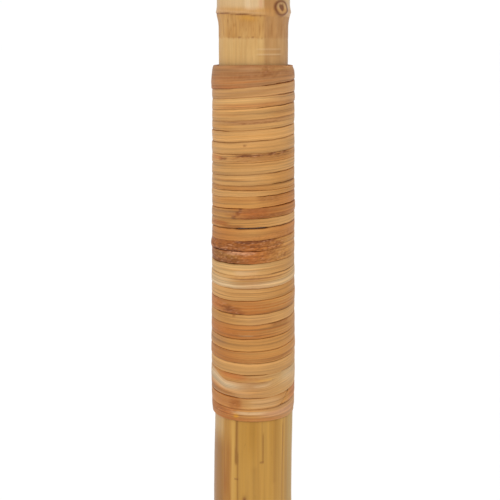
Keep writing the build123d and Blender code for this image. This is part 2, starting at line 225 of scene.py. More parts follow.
class Material:
    """A node material, built from small steps that return sockets."""

    def __init__(self, name, **surface):
        self.material = bpy.data.materials.new(name)
        self.material.use_nodes = True
        self.tree = self.material.node_tree
        self.surface = self.tree.nodes["Principled BSDF"]
        for key, value in surface.items():
            self.set(key.replace("_", " ").title().replace("Ior", "IOR"), value)

    def set(self, name, value):
        """Sets or links an input of the surface shader."""
        self.plug(self.surface.inputs[name], value)

    def plug(self, socket, value):
        if isinstance(value, bpy.types.NodeSocket):
            self.tree.links.new(value, socket)
        else:
            socket.default_value = value

    def node(self, kind, inputs, output, **settings):
        made = self.tree.nodes.new(kind)
        for key, value in settings.items():
            setattr(made, key, value)
        for key, value in inputs.items():
            self.plug(made.inputs[key], value)
        return made.outputs[output]

    def attribute(self, name, output="Color"):
        return self.node("ShaderNodeAttribute", {}, output, attribute_name=name)

    def place(self, scale, source):
        """Coordinates in the piece's own frame, or in its grain map, stretched by scale."""
        if source == "Object":
            vector = self.node("ShaderNodeTexCoord", {}, "Object")
        else:
            vector = self.node("ShaderNodeUVMap", {}, "UV", uv_map=source)
        return self.node("ShaderNodeMapping", {"Vector": vector, "Scale": scale}, "Vector")

    def noise(self, scale, source="Object", detail=3.0, roughness=0.55, distortion=0.0):
        inputs = {"Vector": self.place(scale, source), "Scale": 1.0, "Detail": detail}
        inputs.update({"Roughness": roughness, "Distortion": distortion})
        return self.node("ShaderNodeTexNoise", inputs, "Fac")

    def span(self, value, low_in, high_in, low_out, high_out):
        """Maps a value from one range to another, clamped."""
        names = ("Value", "From Min", "From Max", "To Min", "To Max")
        inputs = dict(zip(names, (value, low_in, high_in, low_out, high_out)))
        return self.node("ShaderNodeMapRange", inputs, "Result")

    def vary(self, texture, low_out, high_out):
        """Maps the range that most of a noise lies in."""
        return self.span(texture, 0.3, 0.7, low_out, high_out)

    def times(self, a, b):
        return self.node("ShaderNodeMath", {0: a, 1: b}, "Value", operation="MULTIPLY")

    def plus(self, a, b):
        return self.node("ShaderNodeMath", {0: a, 1: b}, "Value", operation="ADD")

    def blend(self, share, a, b):
        """Goes from colour a to colour b as share goes from 0 to 1."""
        inputs = {0: share, 6: rgba(a), 7: rgba(b)}
        return self.node("ShaderNodeMix", inputs, 2, data_type="RGBA")

    def shade(self, colour, factor):
        """Multiplies a colour by a number."""
        return self.node("ShaderNodeVectorMath", {0: colour, "Scale": factor}, "Vector", operation="SCALE")

    def bump(self, height, distance, strength):
        inputs = {"Height": height, "Distance": distance, "Strength": strength}
        self.set("Normal", self.node("ShaderNodeBump", inputs, "Normal"))


def rgba(colour):
    return (*[float(c) for c in colour], 1.0)


def culm_material():
    """Bamboo skin and flesh: fibres along the culm, mottling, and a sheen that follows the mesh's gloss."""
    m = Material("bamboo_culm", coat_weight=0.07, coat_roughness=0.2, specular_ior_level=0.28)
    fibre = m.noise((900, 900, 14), detail=4, roughness=0.6)
    strand = m.noise((2600, 2600, 30), detail=2)
    cloud = m.noise((60, 60, 14), detail=3)
    shade = m.vary(fibre, 0.91, 1.07)
    shade = m.times(shade, m.vary(strand, 0.965, 1.03))
    shade = m.times(shade, m.vary(cloud, 0.96, 1.04))
    fleck = m.noise((1500, 1500, 220), detail=2, roughness=0.5)
    shade = m.times(shade, m.span(fleck, 0.68, 0.78, 1.0, 0.86))
    m.set("Base Color", m.shade(m.attribute("tint"), shade))
    gloss = m.attribute("gloss", "Fac")
    m.set("Roughness", m.span(m.plus(gloss, m.times(m.plus(fibre, -0.5), -0.5)), 0.0, 1.0, 0.62, 0.27))
    m.bump(m.plus(m.times(fibre, 0.8), m.times(strand, 0.4)), 0.00007, 0.8)
    return m.material


def cane_material():
    """Split cane: fine fibres along each strip, with darker lines here and there and a dull sheen."""
    m = Material("split_cane", coat_weight=0.05, coat_roughness=0.3, specular_ior_level=0.35)
    fibre = m.noise((40, 2600, 1), "grain", detail=3, roughness=0.6)
    broad = m.noise((16, 900, 1), "grain", detail=2)
    line = m.noise((12, 1500, 1), "grain", detail=3, roughness=0.7)
    pore = m.noise((300, 5200, 1), "grain", detail=2, roughness=0.5)
    shade = m.vary(fibre, 0.85, 1.12)
    shade = m.times(shade, m.vary(broad, 0.9, 1.08))
    shade = m.times(shade, m.span(line, 0.53, 0.63, 1.0, 0.68))
    shade = m.times(shade, m.span(pore, 0.64, 0.76, 1.0, 0.82))
    m.set("Base Color", m.shade(m.attribute("tint"), shade))
    gloss = m.attribute("gloss", "Fac")
    m.set("Roughness", m.span(m.plus(gloss, m.times(m.plus(fibre, -0.5), -0.4)), 0.0, 1.0, 0.8, 0.4))
    m.bump(m.plus(fibre, m.times(m.plus(pore, line), -0.5)), 0.00009, 0.8)
    return m.material


def slat_material(name, light, dark, scale):
    """Split bamboo for the basket: fibres that run up the slats or round the hoops, set by scale."""
    m = Material(name, coat_weight=0.12, coat_roughness=0.3)
    fibre = m.noise(scale, detail=4, roughness=0.6)
    piece = m.noise((38, 38, 3), detail=1)
    stain = m.noise((90, 90, 22), detail=4, roughness=0.65)
    share = m.plus(m.span(piece, 0.35, 0.65, 0.0, 0.6), m.span(stain, 0.5, 0.75, 0.0, 0.6))
    colour = m.blend(share, light, dark)
    m.set("Base Color", m.shade(colour, m.vary(fibre, 0.86, 1.08)))
    m.set("Roughness", m.vary(fibre, 0.55, 0.4))
    m.bump(fibre, 0.00012, 0.8)
    return m.material


def weave_material():
    """The basket's woven strips, tinted strip by strip, with fibres along each."""
    m = Material("weave_strip", coat_weight=0.1, coat_roughness=0.3)
    fibre = m.noise((30, 1900, 1), "grain", detail=4, roughness=0.6)
    stain = m.noise((35, 160, 1), "grain", detail=3)
    shade = m.times(m.vary(fibre, 0.84, 1.1), m.span(stain, 0.35, 0.7, 1.05, 0.88))
    m.set("Base Color", m.shade(m.attribute("tint"), shade))
    m.set("Roughness", m.vary(fibre, 0.58, 0.42))
    m.bump(fibre, 0.0001, 0.8)
    return m.material


def enamel_material():
    """Dark brown enamel on tinplate, with a faint orange peel and dusty, duller patches."""
    m = Material("dark_enamel", coat_weight=0.5, coat_roughness=0.12)
    dust = m.noise((45, 45, 45), detail=5, roughness=0.65)
    peel = m.noise((1300, 1300, 1300), detail=1)
    colour = m.blend(m.span(dust, 0.4, 0.75, 0.0, 1.0), srgb(47, 38, 32), srgb(70, 60, 50))
    m.set("Base Color", colour)
    m.set("Roughness", m.span(dust, 0.35, 0.7, 0.3, 0.5))
    m.bump(peel, 0.00003, 0.5)
    return m.material


def metal_material(name, colour, rough, scale):
    """Bare metal, with drawing or turning marks set by scale."""
    m = Material(name, metallic=1.0)
    marks = m.noise(scale, detail=3, roughness=0.6)
    tarnish = m.noise((120, 120, 120), detail=4, roughness=0.6)
    shade = m.times(m.vary(marks, 0.92, 1.05), m.span(tarnish, 0.4, 0.75, 1.0, 0.72))
    m.set("Base Color", m.shade([float(c) for c in colour], shade))
    m.set("Roughness", m.plus(m.vary(marks, -0.05, 0.06), m.span(tarnish, 0.4, 0.75, rough, rough + 0.2)))
    m.bump(marks, 0.00002, 0.6)
    return m.material


def rubber_material():
    """Matt black rubber with a fine moulded grain."""
    m = Material("black_rubber")
    grain = m.noise((1800, 1800, 1800), detail=2)
    bloom = m.noise((140, 140, 140), detail=4)
    m.set("Base Color", m.blend(m.span(bloom, 0.45, 0.8, 0.0, 1.0), srgb(32, 31, 30), srgb(62, 60, 58)))
    m.set("Roughness", m.vary(bloom, 0.62, 0.8))
    m.bump(grain, 0.00004, 0.5)
    return m.material


def wick_material():
    """White glass-fibre braid, soiled in patches."""
    m = Material("wick_braid", sheen_weight=0.2, sheen_roughness=0.5)
    thread = m.noise((9000, 9000, 2500), detail=2)
    soil = m.noise((220, 220, 60), detail=3)
    colour = m.blend(m.span(soil, 0.45, 0.8, 0.0, 0.6), srgb(226, 219, 203), srgb(190, 174, 146))
    m.set("Base Color", m.shade(colour, m.vary(thread, 0.85, 1.05)))
    m.set("Roughness", m.vary(thread, 0.9, 0.7))
    m.bump(thread, 0.00008, 0.7)
    return m.material


def knob_material():
    """Turned hardwood under a thin oil finish."""
    m = Material("turned_wood", coat_weight=0.3, coat_roughness=0.18)
    grain = m.noise((900, 900, 70), detail=4, roughness=0.6, distortion=0.6)
    pores = m.noise((3800, 3800, 260), detail=2)
    colour = m.blend(m.span(grain, 0.35, 0.65, 0.0, 1.0), srgb(141, 90, 50), srgb(92, 54, 29))
    m.set("Base Color", m.shade(colour, m.span(pores, 0.58, 0.72, 1.0, 0.72)))
    m.set("Roughness", m.vary(grain, 0.36, 0.5))
    m.bump(pores, 0.00004, 0.5)
    return m.material


# ---- Culms ----

RING_RISE = 0.5  # how far a node's ring stands out
RING_FLARE = 6.0  # height of the ring's slope below its crest
RING_SHOULDER = 3.2  # and above it
RING_POWER = 1.9  # how hollow those slopes are
RING_SIDE, RING_STEP = -80, 137  # where the first ring is highest, and how much further round each next is
BUD_WIDTH, BUD_HEIGHT, BUD_EYE = 3.7, 2.9, 1.5  # half sizes of a bud scar and its eye
COLUMNS = 288  # points round a culm
FINE = 0.5  # spacing of the rows near the slip joint
ALONG_NODE = 0.8  # spacing of the rows near a node
PLAIN = 5.0  # spacing of the rows elsewhere
NODE_BELOW, NODE_ABOVE = 14, 12  # how far from a node the rows are close
AZIMUTHS = np.linspace(0, 360, COLUMNS, endpoint=False)[None, :]
CENTRE_R = 0.02  # how near the axis the middle of a level face starts
DIAPHRAGM = 7.0  # thickness of the upper culm's diaphragms


def culm_heights(start, end, nodes, fine):
    """Heights for a culm's rows: closest in the fine span, close at the nodes, and wide elsewhere."""
    heights = [start]
    while heights[-1] < end:
        z = heights[-1]
        step = PLAIN
        for node in nodes:
            if node - NODE_BELOW < z + PLAIN and z < node + NODE_ABOVE:
                step = ALONG_NODE
        if fine[0] < z + PLAIN and z < fine[1]:
            step = FINE
        heights.append(min(z + step, end))
    return np.array(heights)


def ring_swing(i, azimuth, tilt):
    """How far ring i is above its middle height, round the culm. Rings tilt to different sides."""
    return tilt[i] * np.cos(np.radians(turn_from(azimuth, RING_SIDE + RING_STEP * i)))


def culm_radius(z, azimuth, nodes, tilt):
    """Outline of a culm with a ring at each (height, radius below, radius above). tilt is how far a ring's
    height swings round the culm."""
    knots_z, knots_r = [], []
    for height, below, above in nodes:
        knots_z += [height - 0.01, height + 0.01]
        knots_r += [below, above]
    radius = np.broadcast_to(np.interp(z, knots_z, knots_r), np.broadcast(z, azimuth).shape).copy()
    for i, (height, below, above) in enumerate(nodes):
        swing = ring_swing(i, azimuth, tilt)
        d = z - height - swing
        crest = max(below, above) + RING_RISE
        under = np.clip(1 + d / RING_FLARE, 0, 1) ** RING_POWER
        over = np.clip(1 - d / RING_SHOULDER, 0, 1) ** RING_POWER
        radius = np.where((d <= 0) & (d > -RING_FLARE), below + (crest - below) * under, radius)
        radius = np.where((d > 0) & (d < RING_SHOULDER), above + (crest - above) * over, radius)
    return radius


def bud(z, azimuth, radius, height, centre):
    """Shape and marks of a bud scar: (rise in millimetres, darkness of its rim, darkness of its eye)."""
    across = turn_from(azimuth, centre) * math.pi / 180 * radius
    up = z - height
    distance = np.hypot(across / BUD_WIDTH, up / BUD_HEIGHT)
    rim = bell(distance, 0.9, 0.19)
    eye = np.hypot(across / BUD_EYE, (up - 0.45 * np.abs(across)) / BUD_EYE)
    eye = ramp(eye, 1.15, 0.6)
    rise = 0.45 * bell(distance, 0.0, 0.95) + 0.2 * rim - 0.25 * eye
    return rise, rim, eye


def culm_skin(azimuth, z, seed):
    """Colour of plain bamboo skin: long streaks and slow mottling."""
    streak = around(azimuth, 90, z / 160, seed)
    fine = around(azimuth, 260, z / 60, seed + 1)
    cloud = around(azimuth, 6, z / 70, seed + 2)
    tint = mix("honey", "straw", 0.42 + 0.3 * cloud + 0.22 * streak)
    return mix(tint, "olive", 0.12 + 0.3 * np.clip(fine, 0, 1) + 0.15 * np.clip(-cloud, 0, 1))


def ring_marks(tint, z, azimuth, height, swing, seed):
    """The dark scar line under a node's ring, and the browner skin on both sides of it."""
    d = z - height - swing
    ragged = 0.25 * around(azimuth, 70, 0, seed)
    tint = mix(tint, "amber", 0.75 * ramp(d, -13, -3) * ramp(d, 3.5, 0.5))
    tint = mix(tint, "cream", 0.5 * bell(d, 2.0, 1.6))
    return mix(tint, "bark", 0.85 * bell(d + ragged, -1.0, 0.4))


def culm_shell(inside_low, outside, inside_high):
    """A culm's skin as one shell: up from the middle of its lower hollow, over the outside, and down into
    its upper hollow. Each part is (radius, height, tint, gloss) arrays of rows by columns."""
    parts = [inside_low, outside, inside_high]

    def joined(item, *depth):
        return np.vstack([np.broadcast_to(p[item], (p[0].shape[0], COLUMNS, *depth)) for p in parts])

    radius, z, tint, gloss = joined(0), joined(1), joined(2, 3), joined(3)
    return Shell(polar(radius, AZIMUTHS, z), tint, (z * MM, AZIMUTHS / 360 * 0.1), gloss)


def column_array(values):
    return np.array(values, dtype=float)[:, None]


def flesh(azimuth, z, seed):
    """Colour of cut bamboo: pale, with darker bundles of fibre."""
    bundle = around(azimuth, 150, z / 25, seed)
    return mix("straw", "amber", 0.15 + 0.4 * np.clip(bundle, 0, 1))


def turned(steps, seed):
    """A turned surface of cut bamboo, as a part for culm_shell, from (radius, height) at its corners."""
    radius = column_array([r for r, _ in steps])
    z = np.broadcast_to(column_array([h for _, h in steps]), (len(steps), COLUMNS))
    return radius, z, flesh(AZIMUTHS, z, seed), np.full(z.shape, 0.2)


def lower_pole(material):
    """The lower culm, from its slanted point to the tenon in the ferrule."""
    azimuth = AZIMUTHS
    nodes = [(-400.0, 17.2, 17.2), (25.0, 17.2, 17.2), (185.0, 17.1, 17.1), (345.0, 17.05, 17.3)]
    nodes.append((SHOULDER_Z + 200, 14.8, 14.8))
    tilt = [0.9] * len(nodes)
    foot_r, hollow_r, tenon_r, bore_r = 17.2, 10.5, 14.0, 9.2
    rise = 62.0  # of the slanted cut
    collar_z = TIP_Z + rise + 8
    skin_z = SHOULDER_Z - 0.4  # where the skin ends at the shoulder

    def cut_z(radius):
        """Height of the slanted cut, whose tip is on the left."""
        return TIP_Z + rise / 2 + rise / (2 * foot_r) * radius * np.sin(np.radians(azimuth))

    # Outside: rows fanned out over the slanted cut, then level rows up to the shoulder.
    share = np.linspace(0, 1, 30)[:, None]
    fan = cut_z(foot_r) * (1 - share) + collar_z * share
    level = culm_heights(collar_z, skin_z, [n[0] for n in nodes[1:4]], (355, 400))
    z = np.vstack([fan[:-1], np.broadcast_to(level[:, None], (len(level), COLUMNS))])
    radius = culm_radius(z, azimuth, nodes, tilt)
    radius += 0.10 * around(azimuth, 9, z / 260, 31)
    radius += 0.05 * around(azimuth, 34, z / 200, 32)
    tint = culm_skin(azimuth, z, 33)
    gloss = 0.62 + 0.15 * around(azimuth, 40, z / 120, 34)
    buds = {25.0: 160.0, 185.0: -30.0, 345.0: 132.0}
    for i, (height, _, _) in enumerate(nodes):
        swing = ring_swing(i, azimuth, tilt)
        tint = ring_marks(tint, z, azimuth, height, swing, 40 + i)
        if height in buds:
            lift, rim, eye = bud(z, azimuth, foot_r, height + 3.0, buds[height])
            radius += lift
            tint = mix(tint, "umber", 0.8 * rim)
            tint = mix(tint, "bark", 0.9 * eye)
            groove = bell(turn_from(azimuth, buds[height]), 0, 16) * ramp(z, height + 2, height + 9)
            groove = groove * ramp(z, height + 90, height + 20)
            radius -= 0.45 * groove
            tint = mix(tint, "amber", 0.35 * groove)

    tint, radius = shoulder_marks(tint, radius, turn_from(azimuth, 0), z)
    edge = ramp(z, SHOULDER_Z - 2, skin_z)
    radius -= 0.3 * edge**2
    outside = (radius, z, tint, gloss)

    # The slanted cut and the open hollow behind it.
    cut_r = np.linspace(hollow_r, foot_r - 0.15, 7)[:-1, None]
    hollow_z = 21.5
    wall = np.linspace(0, 1, 24)[:-1, None]
    low_r = np.vstack([column_array([CENTRE_R, 0.5 * hollow_r]), np.full((len(wall), 1), hollow_r), cut_r])
    low_r = np.broadcast_to(low_r, (len(low_r), COLUMNS))
    low_z = np.vstack([
        np.full((2, COLUMNS), hollow_z),
        hollow_z * (1 - wall) + (cut_z(hollow_r) + 0.3) * wall,
        np.vstack([cut_z(r) for r in cut_r[:, 0]]),
    ])
    low_tint = flesh(azimuth, low_z, 60)
    # Painted shade: the hollow's tint darkens the deeper it goes.
    shade = np.linspace(0.55, 1.0, len(low_z))[:, None, None]
    inside_low = (low_r, low_z, low_tint * shade, np.full(low_z.shape, 0.1))

    # The shoulder, the turned tenon and its bore.
    tenon_z = high("lower_pole")
    floor_z = 348.5
    steps = [(tenon_r, skin_z), (tenon_r, SHOULDER_Z + 1), (tenon_r, tenon_z - 1)]
    steps += [(tenon_r - 0.6, tenon_z), (bore_r + 0.5, tenon_z), (bore_r, tenon_z - 1)]
    steps += [(bore_r, floor_z + 1), (CENTRE_R, floor_z)]
    shell = culm_shell(inside_low, outside, turned(steps, 61))
    build("lower_culm", [shell], material, "lower_section", "lower_pole")


def shoulder_marks(tint, radius, side, z):
    """The lower culm under the binding: ochre skin, a brown stripe on the left, dark lines and a crook."""
    near = ramp(z, 250, 330)
    below = SHOULDER_Z - z
    field = 0.5 + 0.5 * around(side, 22, z / 26, 51)
    ochre = mix(bamboo(196, 153, 84), bamboo(174, 128, 62), field)
    ochre = mix(ochre, "olive", 0.35 * np.clip(around(side, 110, z / 30, 52), 0, 1))
    tint = mix(tint, ochre, 0.5 + 0.4 * near)
    lower = ramp(below, 5, 17)
    grey = ramp(side, -46, -52) * ramp(side, -110, -90)
    tint = mix(tint, bamboo(186, 152, 108), 0.6 * near * grey * (1 - lower))
    tint = mix(tint, bamboo(150, 104, 50), 0.85 * near * grey * lower)
    stripe = ramp(side, -53, -46) * ramp(side, -31, -36) * (0.75 + 0.35 * around(side, 130, z / 14, 53))
    tint = mix(tint, bamboo(156, 102, 42), near * stripe * (0.4 + 0.5 * lower))
    tint = mix(tint, bamboo(200, 156, 88), 0.6 * near * bell(side, -30.5, 2.6))
    tint = mix(tint, bamboo(172, 138, 62), 0.6 * near * ramp(side, 50, 66) * ramp(side, 120, 95))
    drift = noise(0, z / 16, 54)
    # Each line: azimuth, half width, strength, and the depths below the binding where it starts and ends.
    lines = (
        (-24.6, 2.0, 0.75, -2, 21),
        (-22.3, 0.9, 0.8, 14, 90),
        (-26.0, 1.2, 0.5, 12, 20),
        (14.9, 1.0, 0.65, 5, 19.5),
        (48.0, 0.8, 0.7, 2, 90),
        (56.0, 5.0, 0.22, -2, 90),
        (3.0, 5.0, 0.22, 20, 60),
        (33.0, 3.5, 0.2, -2, 30),
    )
    for centre, width, strength, start, end in lines:
        mark = bell(side - drift, centre, width) * ramp(below, start, start + 3)
        mark = mark * ramp(below, end + 1, end - 1)
        tint = mix(tint, bamboo(138, 96, 36), 1.1 * strength * near * mark)
        radius = radius - 0.1 * strength * mark * near
    for centre, half_long, depth in ((-25, 3.6, 27.7), (12.5, 3.4, 19.4)):
        dash = 0.65 * bell(below, depth, 0.35)
        tint = mix(tint, "bark", dash * ramp(np.abs(side - centre), half_long, half_long - 1))
    knot = bell(np.hypot((side + 12.5) / 3.6, (below - 37.0) / 2.2), 0, 0.8)
    tint = mix(tint, "bark", 0.9 * knot)
    radius = radius + 0.12 * knot
    crook = np.interp(below, (0, 8, 22, 40, 70), (0.4, 0.3, 0.0, -0.15, 0.0))
    return tint, radius + crook * np.sin(np.radians(side))


def upper_pole(material):
    """The upper culm: the turned spigot, the node above the binding, two more nodes and the neck."""
    azimuth = AZIMUTHS
    foot_z, top_z = low("upper_pole"), high("upper_pole")
    joint_z, middle_z, upper_z = BINDING_TOP_Z + 19.9, 762.0, 952.0
    neck_z = RIB_FOOT_Z - 2
    spigot_r, culm_r, neck_r, bore_r = 13.8, 14.4, 14.3, 9.0
    nodes = [(foot_z - 100, spigot_r, spigot_r), (joint_z, spigot_r, culm_r), (middle_z, 14.5, 14.5)]
    nodes += [(upper_z, culm_r, culm_r), (top_z + 400, culm_r, culm_r)]
    tilt = [1.0, 0.15, 1.0, 1.0, 1.0]
    level = culm_heights(foot_z + 1.5, top_z, [n[0] for n in nodes[1:4]], (BINDING_TOP_Z - 6, joint_z + 12))
    z = np.broadcast_to(level[:, None], (len(level), COLUMNS))
    radius = culm_radius(z, azimuth, nodes, tilt)
    skin = ramp(z, joint_z - 1.5, joint_z)
    radius += (0.08 * around(azimuth, 9, z / 260, 71)) * skin
    radius += (0.05 * around(azimuth, 34, z / 200, 72)) * skin
    radius = np.where(z > neck_z, np.minimum(radius, neck_r), radius)
    tint = mix(culm_skin(azimuth, z, 73), "straw", 0.35)
    gloss = 0.8 + 0.12 * around(azimuth, 40, z / 120, 74)

    tint, radius, gloss = joint_marks(tint, radius, gloss, azimuth, z, joint_z)
    buds = {joint_z: 47.5, middle_z: -120.0, upper_z: 70.0}
    for i, (height, _, _) in enumerate(nodes):
        swing = ring_swing(i, azimuth, tilt)
        if height != joint_z:
            tint = ring_marks(tint, z, azimuth, height, swing, 80 + i)
        if height in buds:
            centre = buds[height]
            groove = bell(turn_from(azimuth, centre), -7, 14) * ramp(z, height - 1, height + 5)
            groove = groove * (0.25 + 0.75 * ramp(z, height + 110, height + 20))
            radius -= 0.4 * groove
            tint = mix(tint, "rose", 0.4 * groove)
            gloss = gloss - 0.2 * groove
            lift, rim, eye = bud(z, azimuth, 14.5, height + 1.4, centre)
            radius += lift
            tint = mix(tint, "bark", 0.95 * rim)
            tint = mix(tint, "bark", 0.9 * eye)

    outside = (radius, z, tint, gloss)

    ceiling_z, floor_z = joint_z - DIAPHRAGM / 2, upper_z + DIAPHRAGM / 2
    low_steps = [(CENTRE_R, ceiling_z), (bore_r, ceiling_z - 0.5), (bore_r, foot_z + 1)]
    low_steps += [(bore_r + 0.5, foot_z), (spigot_r - 0.8, foot_z)]
    high_steps = [(neck_r - 0.5, top_z), (bore_r + 0.3, top_z), (bore_r, top_z - 0.5)]
    high_steps += [(bore_r, floor_z), (CENTRE_R, floor_z)]
    shell = culm_shell(turned(low_steps, 90), outside, turned(high_steps, 91))
    build("upper_culm", [shell], material, "upper_section", "upper_pole")


def joint_marks(tint, radius, gloss, azimuth, z, joint_z):
    """The node above the binding and the turned spigot below it."""
    side = turn_from(azimuth, 0)
    streaks = around(azimuth, 190, z / 5.0, 101)
    short = around(azimuth, 250, z / 1.7, 102)
    # The internode above the ring: painted highlights, as pale streaks on the left and a pink one right of
    # the front, and a brown groove that leads to the bud.
    above = ramp(z, joint_z + 0.4, joint_z + 2.2) * ramp(z, joint_z + 60, joint_z + 15)
    tint = mix(tint, bamboo(202, 168, 120), 0.75 * above)
    painted_highlights = ((-28, 26, "pale", 0.4), (-9, 5, "pale", 0.95), (4, 12, "pale", 0.6))
    for centre, width, tone, strength in (*painted_highlights, (11, 3, "pink", 0.6)):
        tint = mix(tint, tone, strength * above * bell(side, centre, width))
    groove = ramp(side, 15, 19) * ramp(side, 42, 34)
    tint = mix(tint, bamboo(172, 122, 74), 0.75 * groove * ramp(z, joint_z + 60, joint_z + 15))
    tint = mix(tint, "umber", 0.4 * above * bell(side, 17, 1.6))
    # The sheath scar: a sharp lip on the left that runs down and fades out on the right.
    fall = 1.6 * ramp(side, -75, 60) * ramp(side, 180, 110)
    scar_z = joint_z - 0.3 - fall + 0.12 * around(azimuth, 60, 0, 103)
    lip = ramp(side, 34, -12) * ramp(side, -175, -120)
    d = z - scar_z
    ochre = mix(bamboo(202, 158, 100), bamboo(188, 140, 84), 0.5 + 0.5 * around(azimuth, 24, z / 6, 104))
    ochre = mix(ochre, bamboo(150, 98, 48), 0.3 * np.clip(streaks, 0, 1) + 0.45 * np.clip(short, 0, 1) ** 2)
    ochre = mix(ochre, bamboo(206, 150, 72), 0.7 * bell(d, -1.3, 1.1) * lip * bell(side, -8, 16))
    right = ramp(side, 12, 22) * ramp(side, 178, 110)
    below = ramp(d, 0.25, -0.15)
    tint = mix(tint, ochre, below)
    # Above the scar the straw skin darkens a little towards it.
    tint = mix(tint, "golden", 0.45 * ramp(d, 4.0, 1.0) * (1 - below))
    # The dark line just under the lip is partly the scar's own mark and partly painted shadow of the lip.
    tint = mix(tint, bamboo(122, 76, 32), 0.9 * lip * bell(d, -0.1, 0.24))
    tint = mix(tint, "cream", 0.6 * lip * bell(d, 0.75, 0.45))
    radius = radius - 0.24 * lip * bell(d, -0.35, 0.45)
    # Flesh cut by the lathe below a ragged line.
    line_z = BINDING_TOP_Z + 10.2 + 0.25 * around(azimuth, 50, 0, 105)
    turned = ramp(z, line_z + 0.3, line_z - 0.5)
    wood = mix(bamboo(210, 172, 116), bamboo(196, 154, 98), 0.5 + 0.5 * around(azimuth, 26, z / 12, 106))
    rings = noise(0, z / 0.9, 107) * 0.5 + 0.5
    wood = mix(wood, bamboo(214, 178, 124), 0.2 * rings)
    wood = mix(wood, "honey", 0.22 * np.clip(streaks, 0, 1))
    tint = mix(tint, wood, 0.85 * turned)
    brown = mix(bamboo(184, 138, 94), bamboo(160, 112, 72), 0.5 + 0.5 * around(azimuth, 70, z / 3.5, 109))
    tint = mix(tint, brown, (0.66 - 0.08 * turned) * right * below)
    dots = np.clip(around(azimuth, 190, 0, 108) * 2, 0, 1) * ramp(side, -62, -45) * ramp(side, 22, 8)
    tint = mix(tint, bamboo(128, 80, 36), 0.75 * dots * bell(z, line_z, 0.28))
    for height, strength in ((5.75, 0.5), (3.95, 0.4)):
        mark = ramp(side, 2, 10) * ramp(side, 54, 46)
        tint = mix(tint, "pale", strength * mark * bell(z, BINDING_TOP_Z + height, 0.2))
        tint = mix(tint, "umber", 0.4 * strength * mark * bell(z, BINDING_TOP_Z + height - 0.55, 0.26))
    rough_band = below * (1 - turned)
    radius = radius - 0.05 * rough_band * np.clip(streaks, 0, 1) - 0.06 * turned * bell(z, line_z - 0.5, 1.2)
    gloss = gloss * (1 - below) + below * (0.3 - 0.1 * turned)
    return tint, radius, gloss


# ---- Cane binding ----

# Each turn of the binding from the top: its width at the front, and its tone, or its tones at the left,
# middle and right.
TURNS = (
    (8.6, "rose"),
    (4.2, "tan"),
    (4.4, "golden", "golden", "tan"),
    (4.8, "golden"),
    (4.0, "golden"),
    (4.6, "golden"),
    (5.0, "golden"),
    (3.5, "golden", "golden", "honey"),
    (4.7, "golden"),
    (4.5, "golden", "golden", "honey"),
    (2.1, "honey"),
    (2.4, "golden", "golden", "honey"),
    (4.8, "honey", "honey", "amber"),
    (4.2, "honey", "russet", "amber"),
    (3.7, "honey", "honey", "golden"),
    (5.2, "amber", "honey", "amber"),
    (4.2, "russet", "russet", "honey"),
    (5.1, "umber", "russet", "honey"),
    (4.9, "straw", "straw", "golden"),
    (5.3, "straw", "tan", "straw"),
    (4.9, "golden", "golden", "honey"),
    (5.7, "amber", "amber", "honey"),
    (4.2, "honey", "golden", "golden"),
    (5.8, "amber", "amber", "honey"),
    (5.3, "honey"),
    (4.8, "amber", "honey", "honey"),
    (4.9, "golden"),
    (3.1, "honey", "golden", "straw"),
    (6.5, "cream", "tan", "straw"),
    (4.7, "honey", "golden", "honey"),
    (4.9, "amber", "honey", "tan"),
)

# Open or deep seams: the seam under a turn, from one azimuth to another, and its gap. The ferrule shows in
# the one that says so.
GAPS = (
    (1, 12, 90, 0.30),
    (1, 28, 100, 0.42),
    (2, 36, 100, 0.26),
    (3, 4, 100, 0.22),
    (3, 34, 100, 0.42),
    (5, -95, -35, 0.2),
    (5, 25, 75, 0.2),
    (6, -60, 80, 0.12),
    (7, -60, 0, 0.12),
    (9, 20, 90, 0.22),
    (10, 25, 90, 0.22),
    (11, -50, 20, 0.16),
    (12, 5, 90, 0.22),
    (13, -80, -12, 0.26),
    (13, 10, 95, 0.3),
    (13, 28, 95, 0.42),
    (14, -10, 80, 0.16),
    (15, -75, -30, 0.24),
    (15, -26, 22, 0.38, "ferrule"),
    (15, 22, 80, 0.24),
    (16, 18, 75, 0.22),
    (17, -80, 14, 0.34),
    (18, -85, 0, 0.34),
    (18, 0, 70, 0.12),
    (19, 25, 90, 0.22),
    (20, -50, 40, 0.14),
    (21, -85, 80, 0.16),
    (22, -58, -12, 0.28),
    (22, -12, 70, 0.16),
    (23, 20, 85, 0.18),
    (24, -60, 60, 0.26),
    (25, -80, 80, 0.15),
    (26, -30, 75, 0.22),
    (27, -45, 20, 0.26),
    (27, -12, 6, 0.26),
    (29, -85, -18, 0.44),
    (29, -18, 20, 0.28),
    (30, -60, 70, 0.12),
)

